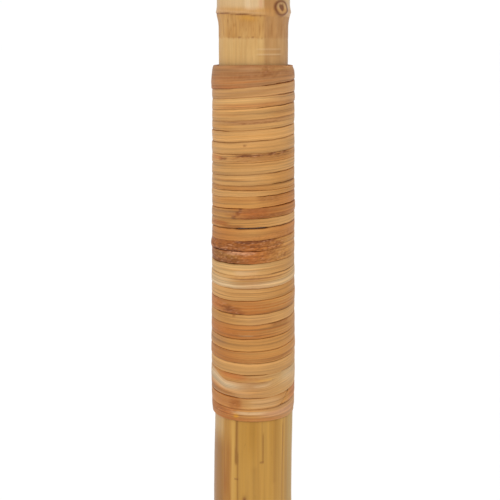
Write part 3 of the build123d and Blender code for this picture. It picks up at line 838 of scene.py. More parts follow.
# Marks on the strips: turn, azimuth and half its length, place across the strip (0 at its upper edge) and
# half its width, tone, strength, and how rough it is.
MARKS = (
    (1, -60, 52, 0.95, 0.06, "rust", 0.5, 0.1),
    (1, -50, 50, 0.86, 0.03, "russet", 0.6, 0.1),
    (1, -35, 66, 0.76, 0.03, "russet", 0.7, 0.1),
    (1, -52, 42, 0.66, 0.03, "russet", 0.5, 0.1),
    (1, -46, 40, 0.54, 0.03, "rust", 0.5, 0.1),
    (1, -60, 34, 0.44, 0.03, "umber", 0.3, 0.1),
    (1, 20, 60, 0.6, 0.04, "umber", 0.5, 0.1),
    (1, -10, 70, 0.34, 0.04, "umber", 0.45, 0.1),
    (1, 40, 40, 0.16, 0.12, "golden", 0.6, 0.1),
    (1, 0, 30, 0.5, 0.07, "umber", 0.45, 0.3),
    (1, 10, 40, 0.05, 0.08, "umber", 0.5, 0.2),
    (1, 20, 8, 0.3, 0.2, "umber", 0.45, 0.3),
    (1, 45, 45, 0.35, 0.3, "umber", 0.15, 0.3),
    (2, -30, 50, 0.7, 0.2, "olive", 0.4, 0.0),
    (2, 0, 60, 0.2, 0.15, "golden", 0.7, 0.0),
    (2, 30, 30, 0.45, 0.12, "umber", 0.3, 0.0),
    (3, -16, 44, 0.74, 0.2, "rust", 0.4, 0.0),
    (3, -30, 50, 0.25, 0.2, "straw", 0.7, 0.0),
    (3, 40, 30, 0.8, 0.25, "amber", 0.5, 0.0),
    (4, 50, 25, 0.6, 0.4, "amber", 0.4, 0.0),
    (4, -40, 30, 0.5, 0.1, "amber", 0.4, 0.0),
    (5, 12, 62, 0.2, 0.2, "rose", 0.9, 0.2),
    (5, 6, 40, 0.3, 0.08, "umber", 0.35, 0.3),
    (5, -60, 30, 0.6, 0.3, "honey", 0.8, 0.0),
    (6, -20, 60, 0.5, 0.08, "honey", 0.6, 0.0),
    (7, -11.5, 1.5, 0.3, 0.1, "bark", 0.9, 0.0),
    (7, 20, 40, 0.5, 0.3, "honey", 0.4, 0.0),
    (8, 0, 24, 0.22, 0.18, "umber", 0.8, 0.7),
    (8, -8, 15, 0.24, 0.13, "bark", 1.0, 0.8),
    (8, 38, 18, 0.12, 0.18, "bark", 0.8, 0.8),
    (8, -46, 8, 0.5, 0.2, "bark", 0.85, 0.6),
    (8, -62, 14, 0.4, 0.3, "rust", 0.5, 0.0),
    (8, 10, 50, 0.55, 0.4, "amber", 0.6, 0.4),
    (9, 0, 50, 0.25, 0.2, "honey", 0.6, 0.0),
    (10, -40, 30, 0.45, 0.08, "amber", 0.6, 0.0),
    (11, -20, 50, 0.5, 0.4, "amber", 0.6, 0.1),
    (13, -30, 40, 0.3, 0.15, "amber", 0.6, 0.0),
    (13, 22, 16, 0.2, 0.3, "umber", 0.35, 0.5),
    (14, -50, 30, 0.3, 0.2, "rose", 0.7, 0.2),
    (14, -18, 2.2, 0.15, 0.2, "bark", 0.8, 0.2),
    (14, -21, 2.6, 0.45, 0.24, "bark", 0.95, 0.3),
    (14, -27, 3.4, 0.82, 0.22, "bark", 0.8, 0.3),
    (14, -34, 8, 0.62, 0.12, "umber", 0.5, 0.2),
    (14, 10, 40, 0.4, 0.06, "russet", 0.7, 0.1),
    (14, 20, 46, 0.64, 0.06, "russet", 0.7, 0.1),
    (14, 0, 22, 0.55, 0.45, "rust", 0.55, 0.4),
    (14, 20, 34, 0.8, 0.15, "umber", 0.5, 0.4),
    (15, -56, 20, 0.55, 0.28, "russet", 0.85, 0.1),
    (15, -30, 16, 0.85, 0.2, "umber", 0.7, 0.1),
    (16, -15, 70, 0.9, 0.25, "amber", 0.6, 0.1),
    (16, 30, 40, 0.8, 0.3, "amber", 0.5, 0.3),
    (17, -25, 62, 0.5, 0.5, "russet", 0.7, 1.0),
    (17, 4, 26, 0.5, 0.3, "rust", 0.35, 0.5),
    (17, -36, 44, 0.6, 0.35, "umber", 0.6, 1.0),
    (17, 2, 26, 0.08, 0.14, "bark", 1.0, 0.9),
    (17, 24, 18, 0.6, 0.4, "umber", 0.6, 1.0),
    (17, -50, 30, 0.95, 0.14, "bark", 0.9, 0.9),
    (18, -46, 30, 0.45, 0.45, "olive", 0.7, 0.9),
    (18, -50, 28, 0.85, 0.3, "umber", 0.8, 0.5),
    (18, 0, 20, 0.45, 0.5, "rust", 0.35, 0.6),
    (18, 2, 16, 0.2, 0.2, "russet", 0.7, 0.6),
    (18, -20, 22, 0.12, 0.16, "pink", 0.7, 0.7),
    (18, 36, 26, 0.5, 0.45, "umber", 0.3, 0.9),
    (19, -10, 16, 0.75, 0.25, "cream", 0.8, 0.0),
    (19, 0, 60, 0.5, 0.05, "amber", 0.5, 0.0),
    (19, 20, 30, 0.8, 0.2, "honey", 0.4, 0.0),
    (20, 10, 50, 0.14, 0.12, "honey", 0.7, 0.2),
    (20, 16, 40, 0.26, 0.05, "umber", 0.6, 0.1),
    (20, -10, 60, 0.4, 0.05, "honey", 0.8, 0.0),
    (20, 0, 60, 0.62, 0.04, "rose", 0.6, 0.0),
    (20, -62, 34, 0.62, 0.34, "pale", 0.45, 0.0),
    (20, -45, 50, 0.84, 0.12, "pale", 0.6, 0.0),
    (20, 40, 40, 0.78, 0.22, "pale", 0.4, 0.0),
    (20, 10, 70, 0.9, 0.05, "umber", 0.25, 0.0),
    (21, -10, 30, 0.5, 0.2, "honey", 0.5, 0.0),
    (22, -31, 14, 0.66, 0.2, "umber", 1.0, 0.3),
    (22, -33, 7, 0.6, 0.16, "bark", 0.8, 0.4),
    (22, -26, 15, 0.86, 0.12, "bark", 1.0, 0.4),
    (22, -45, 16, 0.5, 0.25, "umber", 0.7, 0.5),
    (22, -64, 18, 0.4, 0.4, "rust", 0.5, 0.4),
    (22, 20, 60, 0.35, 0.04, "russet", 0.7, 0.1),
    (22, 20, 60, 0.55, 0.05, "russet", 0.7, 0.1),
    (22, 24, 60, 0.72, 0.04, "umber", 0.5, 0.1),
    (22, 10, 60, 0.85, 0.1, "russet", 0.6, 0.0),
    (23, -27, 1.5, 0.15, 0.12, "umber", 0.8, 0.0),
    (23, 12, 16, 0.6, 0.5, "rose", 0.35, 0.0),
    (24, -50, 30, 0.6, 0.4, "russet", 0.6, 0.1),
    (24, 40, 16, 0.2, 0.2, "umber", 0.6, 0.2),
    (24, 0, 60, 0.62, 0.04, "umber", 0.5, 0.1),
    (24, 10, 60, 0.4, 0.04, "russet", 0.7, 0.1),
    (24, -20, 50, 0.75, 0.04, "umber", 0.6, 0.1),
    (24, -10, 9, 0.76, 0.06, "cream", 0.6, 0.5),
    (24, 0, 60, 0.85, 0.06, "russet", 0.5, 0.0),
    (25, -58, 20, 0.4, 0.4, "rose", 0.6, 0.0),
    (26, -58, 28, 0.6, 0.4, "amber", 0.6, 0.0),
    (26, 10, 60, 0.7, 0.05, "russet", 0.8, 0.1),
    (26, -10, 60, 0.52, 0.05, "russet", 0.6, 0.1),
    (26, 0, 60, 0.86, 0.05, "umber", 0.6, 0.1),
    (26, 20, 60, 0.35, 0.08, "amber", 0.6, 0.0),
    (28, -30, 20, 0.3, 0.4, "rust", 0.6, 0.0),
    (28, -10, 22, 0.6, 0.2, "amber", 0.5, 0.1),
    (28, 0, 34, 0.34, 0.07, "umber", 0.4, 0.2),
    (28, 16, 12, 0.75, 0.2, "yellow", 0.3, 0.0),
    (29, -52, 30, 0.3, 0.2, "pale", 0.8, 0.0),
    (29, 12, 12, 0.22, 0.1, "cream", 0.7, 0.1),
    (29, 60, 20, 0.3, 0.4, "pale", 0.5, 0.0),
    (29, -62, 40, 0.8, 0.3, "amber", 0.95, 0.1),
    (29, 20, 50, 0.7, 0.3, "honey", 0.5, 0.0),
    (30, -50, 32, 0.5, 0.5, "rust", 0.5, 0.0),
    (30, -25, 9, 0.55, 0.5, "russet", 0.8, 0.4),
    (30, 74, 16, 0.5, 0.6, "rust", 0.7, 0.1),
    (30, 18, 22, 0.5, 0.4, "cream", 0.5, 0.0),
    (31, -24, 3.5, 0.55, 0.2, "yellow", 1.0, 0.0),
    (31, -50, 26, 0.3, 0.35, "rust", 0.5, 0.5),
    (31, -4, 24, 0.3, 0.12, "pale", 0.7, 0.2),
    (31, 40, 30, 0.45, 0.2, "pink", 0.5, 0.1),
    (31, -10, 60, 0.85, 0.15, "russet", 0.7, 0.1),
)

# Where a strip stands proud: turn, azimuth and half its length, place across it and half its width, height.
LIFTS = (
    (1, -72, 30, 0.85, 0.4, 0.30),
    (3, 60, 40, 0.6, 0.5, 0.15),
    (8, 0, 60, 0.2, 0.3, 0.10),
    (14, 70, 40, 0.4, 0.6, 0.25),
    (14, -26, 5, 0.5, 0.6, 0.12),
    (17, -60, 50, 0.7, 0.4, 0.30),
    (17, 0, 60, 0.5, 0.5, 0.14),
    (22, -30, 18, 0.8, 0.3, 0.14),
    (28, 84, 20, 0.3, 0.5, 0.30),
    (30, -26, 8, 0.5, 0.6, 0.10),
)

CANE_THICKNESS = 0.95
PER_TURN = 160  # points along one turn
ACROSS = 26  # points across a strip
USUAL_GAP = 0.012  # of a closed seam
END_GAP = 0.001  # how far a strip stops short of its end, in turns
LEDGE_GAP = 0.004  # keeps the inner edges of neighbouring turns apart
LEDGE_RISE = 0.1  # how far the ledges beside a strip are outside inner_r
FLOOR_DROP = 0.02  # how far its underside is inside inner_r
END_FADE = 60  # how fast a cut end's slant and dip fade along the strip, per turn
GAP_FADE = (5, 7)  # how far outside and inside its azimuths a gap opens
EDGE_ROUND = 0.3  # radius of a strip's edges
TOP_DIP = 0.5  # how much lower the binding's upper edge is at the sides
LIP_THICKNESS = 0.9  # of the cane that closes over the ferrule's end
SEAM_SHADE = np.array([0.6, 0.35, 0.14])  # painted shade: how far a strip's edges darken down by the seams
SHADED_SIDE_COLOUR = TONES["rust"] * np.array([0.68, 0.46, 0.2])  # painted shade: the dark colour of a strip's sides, down in the seams
MEAN_WIDTH = 4.8  # the width that a strip's grain is laid out for
WIDENING = 0.12  # how much wider the turns get from the top to the foot
SEAM_OPENING = 0.75  # how far the seams in GAPS stand open, of their full width
SLOPE_TOP = 0.6  # how much higher the first turns run on the right, and lower on the left
SLOPE_FOOT = -0.35  # and the last turns
# How far the front of the turns hangs below their back, as (depth, half of the difference).
DROOP = ((0, 0), (25, 0.3), (55, -0.3), (80, 0.6), (115, 1.2), (137, 1.1), (146, 0))
# How far the turns' crests stand out more than the cane is thick, as (depth, distance).
SWELL = ((0, 0.05), (10, -0.05), (22, 0.1), (75, 0.7), (128, 1.4), (146, 1.35))
LIP_R = 14.15  # inner radius of the cane that closes over the ferrule's end
LEVEL_ENDS = 3.0  # over this depth from either end, the turns run level
CUT_AZIMUTH = 48.0  # where a strip's cut end shows
NECK_TURN = 110  # length of a turn of the neck binding
TUCK = (1.5, 0.3)  # how far the binding's upper and lower ends are drawn in
TUCK_LEAN = 0.4  # how much more the upper end is drawn in on the right
FOOT_SAG = (0.3, 0.8)  # how far the last turn hangs over the shoulder, all round and at the sides as well


class Winding:
    """Strips of cane wound right-handed in one helix, whose width changes from turn to turn. A place along
    it is counted in turns, t: whole numbers are at the front, and t grows to the left and downwards. With
    lip_r, the first turn closes over a tube's end, and the edges at both ends of the binding sag."""

    def __init__(
        self, widths, top_z, inner_r, seed, swell, sway=(0.0, 0.0), gaps=(), droop=((0, 0),), lip_r=None
    ):
        self.count = len(widths)
        self.depths = np.concatenate([[0], np.cumsum(widths)])
        self.length = self.depths[-1]
        slopes = np.array([widths[0], *widths, widths[-1]], dtype=float)
        self.slopes = (slopes[:-1] + slopes[1:]) / 2
        self.top_z, self.inner_r, self.seed = top_z, inner_r, seed
        self.sway, self.gaps, self.swell, self.droop = sway, gaps, swell, droop
        self.lip_r, self.sags = lip_r, lip_r is not None

    def seam(self, t):
        """Depth below the top of the seam above place t."""
        t = np.clip(t, 0, self.count)
        i = np.minimum(np.floor(t).astype(int), self.count - 1)
        f = t - i
        a, b = self.depths[i], self.depths[i + 1]
        ma, mb = self.slopes[i], self.slopes[i + 1]
        even = a * (1 + 2 * f) * (1 - f) ** 2 + b * f**2 * (3 - 2 * f)
        depth = even + ma * f * (1 - f) ** 2 - mb * f**2 * (1 - f)
        ends = ramp(depth, 0, LEVEL_ENDS) * ramp(depth, self.length, self.length - LEVEL_ENDS)
        sway = np.interp(depth, [0, self.length], self.sway) * ends
        ragged = 0.12 * noise(t * 11, 3.0, self.seed) + 0.07 * noise(t * 53, 5.0, self.seed + 1)
        droop = np.interp(depth, *zip(*self.droop))
        return depth - sway * np.sin(self.azimuth(t)) - droop * (1 - np.cos(self.azimuth(t))) + ragged * ends

    def azimuth(self, t):
        """Angle round the pole at place t, in radians."""
        return -2 * np.pi * (t % 1.0)

    def gap(self, t):
        """Width of the seam above place t, and how far the cane under it is drawn back from the ferrule."""
        index = np.round(t)
        side = -(t - index) * 360
        width = USUAL_GAP + 0.05 * np.clip(noise(t * 7, 9.0, self.seed + 8), 0, 1)
        bare = np.zeros(np.shape(t))
        outer, inner = GAP_FADE
        for seam, start, end, size, *shows_ferrule in self.gaps:
            inside = ramp(side, start - outer, start + inner) * ramp(side, end + outer, end - inner)
            inside = inside * (index == seam)
            opening = size if shows_ferrule else size * SEAM_OPENING
            width = np.maximum(width, opening * inside * (1 + 0.35 * noise(t * 40, 11.0, self.seed + 9)))
            if shows_ferrule:
                bare = np.maximum(bare, inside)
        return width, bare

    def outline(self, depth, t):
        """Radius of the strips' crests at a depth, drawn in at both ends."""
        places, heights = zip(*self.swell)
        crest = self.inner_r + CANE_THICKNESS + np.interp(depth, places, heights)
        tuck = TUCK[0] * (1 + TUCK_LEAN * np.sin(self.azimuth(t)))
        crest = crest - tuck * np.exp(-depth / 1.4)
        return crest - TUCK[1] * np.exp(-np.maximum(self.length - depth, 0) / 1.6)

    def strip(self, start, end, paint, slant=(0.0, 0.0)):
        """The shell of the strip from place start to end. paint(t, v) gives its tint, its roughness, how far
        it stands proud, and how far its upper edge laps over the turn above. v goes from 0 at the upper edge
        to 1 at the lower one. slant is how far each end is cut at an angle, in turns."""
        rows = max(int((end - start) * PER_TURN), 8)
        along = np.linspace(start + END_GAP, end - END_GAP, rows)[:, None]
        even = np.linspace(0, 1, ACROSS)[None, :]
        v = 0.45 * even + 0.55 * (0.5 - 0.5 * np.cos(np.pi * even))
        near_start = np.exp(-(along - along[0]) * END_FADE)
        near_end = np.exp(-(along[-1] - along) * END_FADE)
        t = along + (slant[0] * near_start + slant[1] * near_end) * (v - 0.5)
        tint, rough, proud, lap = paint(t, v)

        free_top, free_foot = along < 0.5, along > self.count - 1.5
        (gap_up, bare_up), (gap_down, bare_down) = self.gap(along), self.gap(along + 1)
        dip = TOP_DIP * np.sin(self.azimuth(along)) ** 2 if self.sags else 0.0
        seam_up = np.where(free_top, dip, self.seam(along)) - lap
        sag = FOOT_SAG[0] + FOOT_SAG[1] * np.sin(self.azimuth(along)) ** 2 if self.sags else 0.0
        seam_down = np.where(free_foot, self.length + sag, self.seam(along + 1))
        upper = seam_up + np.where(free_top, 0.0, gap_up / 2)
        lower = seam_down - np.where(free_foot, 0.0, gap_down / 2)
        depth = upper + (lower - upper) * v
        width = lower - upper

        arc = along * 2 * np.pi * (self.inner_r + 1)
        line = v * MEAN_WIDTH
        groove = noise(arc / 30, line / 0.62, self.seed + 4)
        groove = groove + 0.7 * noise(arc / 16, line / 0.36, self.seed + 5)
        grit = noise(arc / 0.9, line / 0.45, self.seed + 6) + noise(arc / 0.55, line / 0.3, self.seed + 7)
        turn_r = 0.12 * noise(along * 1.3, 0.5, self.seed + 2)
        tip = 0.16 * noise(along * 2.3, 0.5, self.seed + 3) * (2 * v - 1)
        from_edge = np.minimum(v, 1 - v) * width
        gap = np.where(v < 0.5, gap_up, gap_down)
        rounding = 1 - np.sqrt(np.clip(1 - (1 - np.clip(from_edge / EDGE_ROUND, 0, 1)) ** 2, 0, 1))
        drop = (0.10 + 0.8 * gap) * rounding + 0.10 * (2 * v - 1) ** 2
        radius = self.outline(depth, along) + turn_r + tip + proud - drop + 0.03 * groove
        radius = radius + rough * (0.10 * grit - 0.03) - 0.15 * (near_start**3 + near_end**3)
        radius = np.maximum(radius, self.inner_r + 0.12)

        ledge_up = np.where(bare_up > 0.5, upper, seam_up + LEDGE_GAP)
        ledge_down = np.where(bare_down > 0.5, lower, seam_down)
        ledge_r = np.full((rows, 1), self.inner_r + LEDGE_RISE)
        floor_r = np.full((rows, 1), self.inner_r - FLOOR_DROP)
        lips = free_top & self.sags
        lip_r = np.where(lips, self.lip_r or 0.0, ledge_r)
        floor_up = ledge_up + np.where(lips, LIP_THICKNESS, 0.0)
        edges = np.hstack([floor_up, ledge_up, depth, ledge_down, ledge_down])
        profile = np.hstack([floor_r, lip_r, radius, ledge_r, floor_r])
        points = polar(profile, widened(np.degrees(self.azimuth(t))), self.top_z - edges)

        tint = mix(tint, "bark", 0.75 * rough * np.clip(grit, 0, 1))
        tint = mix(tint, "pink", 0.6 * rough * np.clip(-grit - 0.3, 0, 1))
        # Painted shade: each strip darkens towards its edges, more beside an open seam.
        seam_shade = (0.24 + 0.6 * gap) * np.exp(-((from_edge / 0.24) ** 2))
        tint = mix(tint, tint * SEAM_SHADE, seam_shade) * (1 + 0.08 * groove)[..., None]
        # Painted shade: the strips' hidden sides are dark, standing in for the shade down in the seams.
        shaded_sides = np.broadcast_to(SHADED_SIDE_COLOUR, (rows, 2, 3))
        tint = np.concatenate([shaded_sides, tint, shaded_sides], axis=1)
        gloss = np.clip(0.6 - 0.5 * rough + 0.1 * groove, 0, 1)
        gloss = np.pad(gloss, ((0, 0), (2, 2)))
        return Shell(points, tint, (arc * MM, widened(line) * MM), gloss)


def widened(columns):
    """Repeats the columns at both edges of a strip for the two hidden columns beyond each."""
    return np.hstack([columns[:, [0, 0]], columns, columns[:, [-1, -1]]])


def spot(side, v, centre, half_long, place, half_wide):
    """A flat-topped patch on a strip."""
    return np.exp(-(((side - centre) / half_long) ** 4)) * np.exp(-(((v - place) / half_wide) ** 4))


def tones_along(t, places, names):
    """Colours at t, blended between the named tones at places."""
    tones = np.array([TONES[name] for name in names])
    return np.stack([np.interp(t, places, tones[:, c]) for c in range(3)], axis=-1)


def binding_paint(t, v):
    """Tint, roughness, relief and lap of the main binding."""
    places, tones = [], []
    for i, (_, *names) in enumerate(TURNS):
        left, middle, right = names if len(names) == 3 else names * 3
        for shift, tone in ((-0.19, right), (-0.11, right), (0.0, middle), (0.11, left), (0.19, left)):
            places.append(i + shift)
            tones.append(tone)
    arc = t * 2 * np.pi * FERRULE_R
    streak = 0.10 * noise(arc / 42, v * 7, 201) + 0.07 * noise(arc / 24, v * 12, 204)
    streak = streak + 0.05 * noise(arc / 7, v * 3, 202)
    tint = tones_along(t, places, tones) * (1 + streak)[..., None]
    rough = np.full(t.shape, 0.05)
    proud = np.zeros(t.shape)
    for turn, centre, half_long, place, half_wide, tone, strength, roughness in MARKS:
        patch = spot(-(t - (turn - 1)) * 360, v, centre, half_long, place, half_wide)
        if roughness < 0.3:
            torn = 1 + 0.6 * noise(arc / 14, v * 13, 210 + turn)
        else:
            torn = 1 + (0.9 * roughness + 0.2) * noise(arc / 1.8, v * 10, 210 + turn)
        patch = np.clip(patch * torn, 0, 1)
        shade = 1 + 0.12 * noise(arc / 5, v * 8, 203)
        tint = mix(tint, TONES[tone] * shade[..., None], strength * patch)
        rough = rough + 0.8 * roughness * patch
    for turn, centre, half_long, place, half_wide, height in LIFTS:
        proud = proud + height * spot(-(t - (turn - 1)) * 360, v, centre, half_long, place, half_wide)
    # The pale turn near the foot lies over the orange one before it, all but at the front.
    side = -(t - 28) * 360
    shown = ramp(side, -66, -36) * ramp(side, 46, 14)
    over = np.where(np.abs(t - 28) < 0.5, 3.0 * (1 - shown) * ramp(np.abs(side), 178, 120), 0.0)[:, :1]
    side = -(t - 27) * 360
    hidden = 1 - ramp(side, -78, -60) * ramp(side, 60, 40)
    proud = proud + 0.14 * bell(t, 28.0, 0.3) - np.where(np.abs(t - 27) < 0.5, 0.3 * hidden, 0.0)
    return tint, np.clip(rough, 0, 1), proud, over


def cane_binding(material):
    """The binding over the ferrule, in the three canes of the CAD model. Ends meet at the back, apart from
    one cut end that shows at the right near the foot."""
    widths = np.array([turn[0] for turn in TURNS])
    widths *= 1 + WIDENING * np.linspace(-0.5, 0.5, len(TURNS))
    widths *= (BINDING_TOP_Z - SHOULDER_Z + 0.1) / widths.sum()
    inner_r, sway = FERRULE_R + 0.06, (SLOPE_TOP, SLOPE_FOOT)
    winding = Winding(widths, BINDING_TOP_Z, inner_r, 11, SWELL, sway, GAPS, DROOP, LIP_R)
    last = len(TURNS) - 0.5
    cut = 29 - CUT_AZIMUTH / 360
    cut_slant = 0.05
    spans = {
        "upper": ((-0.5, 0.5, (0, 0)), (0.5, 10.5, (0, 0.03))),
        "middle": ((10.5, 20.5, (0.03, 0.02)),),
        "lower": ((20.5, cut, (0.02, cut_slant)), (cut, last - 1, (cut_slant, 0)), (last - 1, last, (0, 0))),
    }
    for place, parts in spans.items():
        shells = [winding.strip(start, end, binding_paint, slant) for start, end, slant in parts]
        name, node = f"cane_binding_{place}", f"binding_cane_{place}"
        build(name, shells, material, "lower_section", node)


def neck_binding(material):
    """The binding that holds the ribs' feet on the culm."""
    rng = np.random.default_rng(5)
    widths = rng.uniform(4.2, 5.2, 8)
    top_z, foot_z = high("neck_binding"), low("neck_binding")
    widths *= (top_z - foot_z) / widths.sum()
    winding = Winding(widths, top_z, reach("neck_binding") - 1.2, 21, ((0, 0.1), (10, 0.0), (39, 0.1)))
    names = ("golden", "honey", "straw", "amber", "golden", "honey", "rose", "golden", "honey")

    def paint(t, v):
        arc = t * NECK_TURN
        shade = 1 + 0.10 * noise(arc / 42, v * 7, 301) + 0.07 * noise(arc / 24, v * 12, 303)
        tint = tones_along(t, np.arange(len(names)), names) * shade[..., None]
        patch = np.clip(noise(arc / 9, v * 2, 302) * 2 - 0.9, 0, 1)
        tint = mix(tint, "russet", 0.7 * patch)
        return tint, 0.06 + 0.6 * patch, np.zeros(t.shape), np.zeros((len(t), 1))

    last = len(widths) - 0.5
    parts = ((-0.5, 0.5), (0.5, last - 1), (last - 1, last))
    shells = [winding.strip(start, end, paint) for start, end in parts]
    build("neck_cane", shells, material, "upper_section", "neck_binding")


# ---- Basket ----

RIBS = 12
ROWS = 17
FLARE = math.radians(13.5)  # how far the ribs lean outwards
BEND_Z, BEND_R = 1056.0, 150.0  # where the ribs start to bend, and the radius of the bend
RIB_LINE_R = 15.6  # radius of the ribs' middles below the bend
FLARE_START_Z = BEND_Z + BEND_R * math.sin(FLARE)
FLARE_START_R = RIB_LINE_R + BEND_R * (1 - math.cos(FLARE))
WEAVE_WIDTH, WEAVE_THICKNESS = 7.3, 0.9
WEAVE_STEPS, WEAVE_COLUMNS = 480, 18  # points along a strip, and round its section
WEAVE_LAP = 26.0  # how far a strip's ends lap, in degrees
WEAVE_SWING = 2.0  # how far a strip swings out and in


def flare_radius(z):
    """Radius of the middle of a rib at height z."""
    return FLARE_START_R + math.tan(FLARE) * (z - FLARE_START_Z)


def weave_strip(row, material):
    """One woven strip: it leans with the ribs, swings over one and in behind the next, and its ends lap
    inside the basket."""
    node = f"weave_row_{row + 1:02d}"
    rng = np.random.default_rng(400 + row)
    z0 = (low(node) + high(node)) / 2
    width = WEAVE_WIDTH + rng.uniform(-0.35, 0.35)
    start = 30.0 * rng.integers(0, RIBS) + 60.0
    half_lap = WEAVE_LAP / 2
    turn = np.linspace(-half_lap, 360 + half_lap, WEAVE_STEPS)[:, None]
    azimuth = start + turn
    # Azimuth 90 is +X, where the first rib stands.
    wave = np.cos(np.radians((azimuth - 90) * RIBS / 2 + 180 * row))
    swing = WEAVE_SWING * np.tanh(2.2 * wave) / math.tanh(2.2)
    section = np.linspace(0, 2 * np.pi, WEAVE_COLUMNS, endpoint=False)[None, :]
    cosine, sine = np.cos(section), np.sin(section)
    across = width / 2 * np.sign(cosine) * np.abs(cosine) ** 0.35
    out = WEAVE_THICKNESS / 2 * np.sign(sine) * np.abs(sine) ** 0.8
    wobble = 0.35 * noise(azimuth / 14, np.full_like(azimuth, row), 410 + row)
    lap_in = ramp(turn, half_lap + 6, half_lap - 2) - 0.1
    height = z0 + across * math.cos(FLARE) + wobble
    radius = flare_radius(z0) + swing + out - lap_in + (across + wobble) * math.sin(FLARE)
    ends = ramp(turn, -half_lap, -half_lap + 1) * ramp(turn, 360 + half_lap, 360 + half_lap - 1)
    height = z0 + (height - z0) * (0.75 + 0.25 * ends)
    tone = TONES["straw"] * (1 - 0.25 * rng.random()) + TONES["honey"] * 0.2 * rng.random()
    arc = np.radians(azimuth) * flare_radius(z0)
    node_mark = bell((arc / 190 + rng.random()) % 1.0, 0.5, 0.012)
    shade = 1 + 0.08 * noise(arc / 40, across / 2, 420 + row)
    tint = tone * shade[..., None]
    tint = mix(tint, "umber", 0.6 * node_mark * np.ones_like(across))
    inner = ramp(out, 0.1, -0.2)
    tint = mix(tint, "rose", 0.35 * inner * np.ones_like(azimuth))
    shell = Shell(polar(radius, azimuth, height), tint, (arc * MM, across * MM + row * 0.01))
    build(f"woven_strip_{row + 1:02d}", [shell], material, "upper_section", node)


# ---- Wick ----


def braided_wick(material):
    """The wick: a round braid whose strands pass over and under each other, with a blunt frayed top."""
    top_z, foot_z, radius = high("wick"), low("wick"), reach("wick")
    strands, pitch = 8, 22.0
    rows, columns = 420, 96
    z = np.linspace(foot_z, top_z, rows)[:, None]
    azimuth = np.linspace(0, 360, columns, endpoint=False)[None, :]
    a = np.radians(azimuth)
    rise = 2 * np.pi * (z - foot_z) / pitch * strands / 2
    one, other = np.cos(strands * a + rise), np.cos(strands * a - rise)
    over = np.sin(strands * a) * np.sin(rise) > 0
    relief = np.where(over, np.abs(one), np.abs(other))
    end = ramp(z, top_z, top_z - 1.2) * ramp(z, foot_z, foot_z + 1.2)
    skin = radius - 0.42 + 0.38 * relief
    points = polar(skin * (0.8 + 0.2 * end), azimuth, z + 0.25 * relief * (z > top_z - 0.5))
    fray = around(azimuth, 40, z / 1.5, 501)
    # Painted shade: the braid's tint is darker down between its strands.
    tint = (0.8 + 0.2 * relief + 0.05 * fray)[..., None]
    shell = Shell(points, tint, (z * MM, azimuth / 360 * 0.03))
    build("braided_wick", [shell], material, "wick", "wick")


# ---- CAD pieces that stay ----


def dress(name, material, bevel=0.0):
    """Gives a CAD node its finish, and rounds its sharp edges by bevel millimetres."""
    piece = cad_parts[name]
    for slot in piece.material_slots:
        slot.material = material
    if bevel:
        rounding = piece.modifiers.new("rounding", "BEVEL")
        rounding.width = bevel * MM
        rounding.segments = 2
        rounding.limit_method = "ANGLE"
        rounding.angle_limit = math.radians(35)
        rounding.harden_normals = False


# ---- Studio ----

FLOOR_SIZE = 60.0  # half of its side, in metres
SURROUND_LIGHT, SURROUND_SEEN = 0.8, 1.02  # strength of the surround as a light, and as the camera sees it
KEY_ENERGY, KEY_SOFTNESS = 0.9, 25  # the key light's softness and the two angles are in degrees
KEY_TILT, KEY_TURN = 56, -9
LENS, SENSOR = 64.8, 36.0
EYE_DISTANCE = 0.3675  # of the camera from the pole's axis, in metres
EYE_SIDE, EYE_RISE = -1.35, 11.0  # of the camera from the axis and from the binding's top
EYE_TILT = 13.4  # how far the camera looks down, in degrees


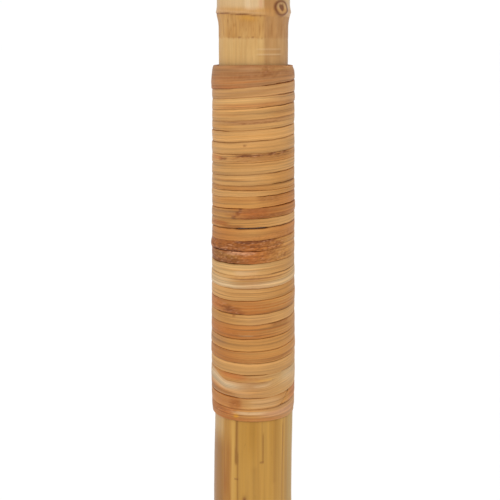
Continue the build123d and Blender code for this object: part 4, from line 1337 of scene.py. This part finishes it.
def studio():
    """A pale floor under the torch's point, an even white surround, and a soft key light from the front,
    above and a little to the left."""
    mesh = bpy.data.meshes.new("floor")
    corners = [(x * FLOOR_SIZE, y * FLOOR_SIZE, TIP_Z * MM) for x, y in ((-1, -1), (1, -1), (1, 1), (-1, 1))]
    mesh.from_pydata(corners, [], [(0, 1, 2, 3)])
    floor = bpy.data.objects.new("floor", mesh)
    bpy.context.scene.collection.objects.link(floor)
    paint = Material("floor_paint", base_color=(0.97, 0.97, 0.968, 1), roughness=0.9)
    paint.set("Emission Color", (1, 1, 1, 1))
    paint.set("Emission Strength", 0.1)
    mesh.materials.append(paint.material)

    world = bpy.data.worlds.new("studio")
    bpy.context.scene.world = world
    world.use_nodes = True
    tree = world.node_tree
    background = tree.nodes["Background"]
    background.inputs["Color"].default_value = (1, 1, 1, 1)
    seen = tree.nodes.new("ShaderNodeLightPath")
    strength = tree.nodes.new("ShaderNodeMapRange")
    strength.inputs["To Min"].default_value = SURROUND_LIGHT
    strength.inputs["To Max"].default_value = SURROUND_SEEN
    tree.links.new(seen.outputs["Is Camera Ray"], strength.inputs["Value"])
    tree.links.new(strength.outputs["Result"], background.inputs["Strength"])

    key = bpy.data.lights.new("key", "SUN")
    key.energy = KEY_ENERGY
    key.angle = math.radians(KEY_SOFTNESS)
    lamp = bpy.data.objects.new("key", key)
    lamp.rotation_euler = (math.radians(KEY_TILT), 0, math.radians(KEY_TURN))
    bpy.context.scene.collection.objects.link(lamp)


def camera():
    """A little above the binding's top, in front of it, tipped down."""
    data = bpy.data.cameras.new("camera")
    data.sensor_width = SENSOR
    data.lens = LENS
    data.clip_start, data.clip_end = 0.05, 200
    eye = bpy.data.objects.new("camera", data)
    eye.location = (EYE_SIDE * MM, -EYE_DISTANCE, (BINDING_TOP_Z + EYE_RISE) * MM)
    eye.rotation_euler = (math.radians(90 - EYE_TILT), 0, 0)
    bpy.context.scene.collection.objects.link(eye)
    bpy.context.scene.camera = eye


def main():
    bamboo, cane = culm_material(), cane_material()
    lower_pole(bamboo)
    upper_pole(bamboo)
    cane_binding(cane)
    neck_binding(cane)
    woven = weave_material()
    for row in range(ROWS):
        weave_strip(row, woven)
    braided_wick(wick_material())

    slat = slat_material("bamboo_slat", TONES["straw"], TONES["amber"], (1200, 1200, 16))
    hoop = slat_material("bamboo_hoop", TONES["golden"], TONES["russet"], (60, 60, 1800))
    for index in range(RIBS):
        dress(f"basket_rib_{index + 1:02d}", slat, 0.35)
    for side in ("outer", "inner"):
        dress(f"rim_hoop_{side}", hoop, 0.45)
    lashing = slat_material("lashing_cane", TONES["honey"], TONES["umber"], (500, 500, 160))
    dress("rim_lashing", lashing, 0.25)

    enamel = enamel_material()
    for name in ("canister_body", "canister_top", "burner_cap", "snuffer_cup"):
        dress(name, enamel, 0.15)
    dress("ferrule_tube", metal_material("steel_tube", srgb(150, 149, 147), 0.42, (1500, 1500, 30)))
    bright = metal_material("brad_steel", srgb(205, 203, 198), 0.25, (700, 700, 700))
    for name in ("ferrule_brads", "rib_brads", "snuffer_rivet"):
        dress(name, bright)
    dress("wick_tube", metal_material("brass", srgb(205, 166, 92), 0.28, (300, 300, 2400)), 0.1)
    dress("burner_stopper", rubber_material(), 0.3)
    dress("snuffer_knob", knob_material(), 0.2)
    studio()
    camera()


main()
bpy.context.scene.view_settings.view_transform = "Standard"
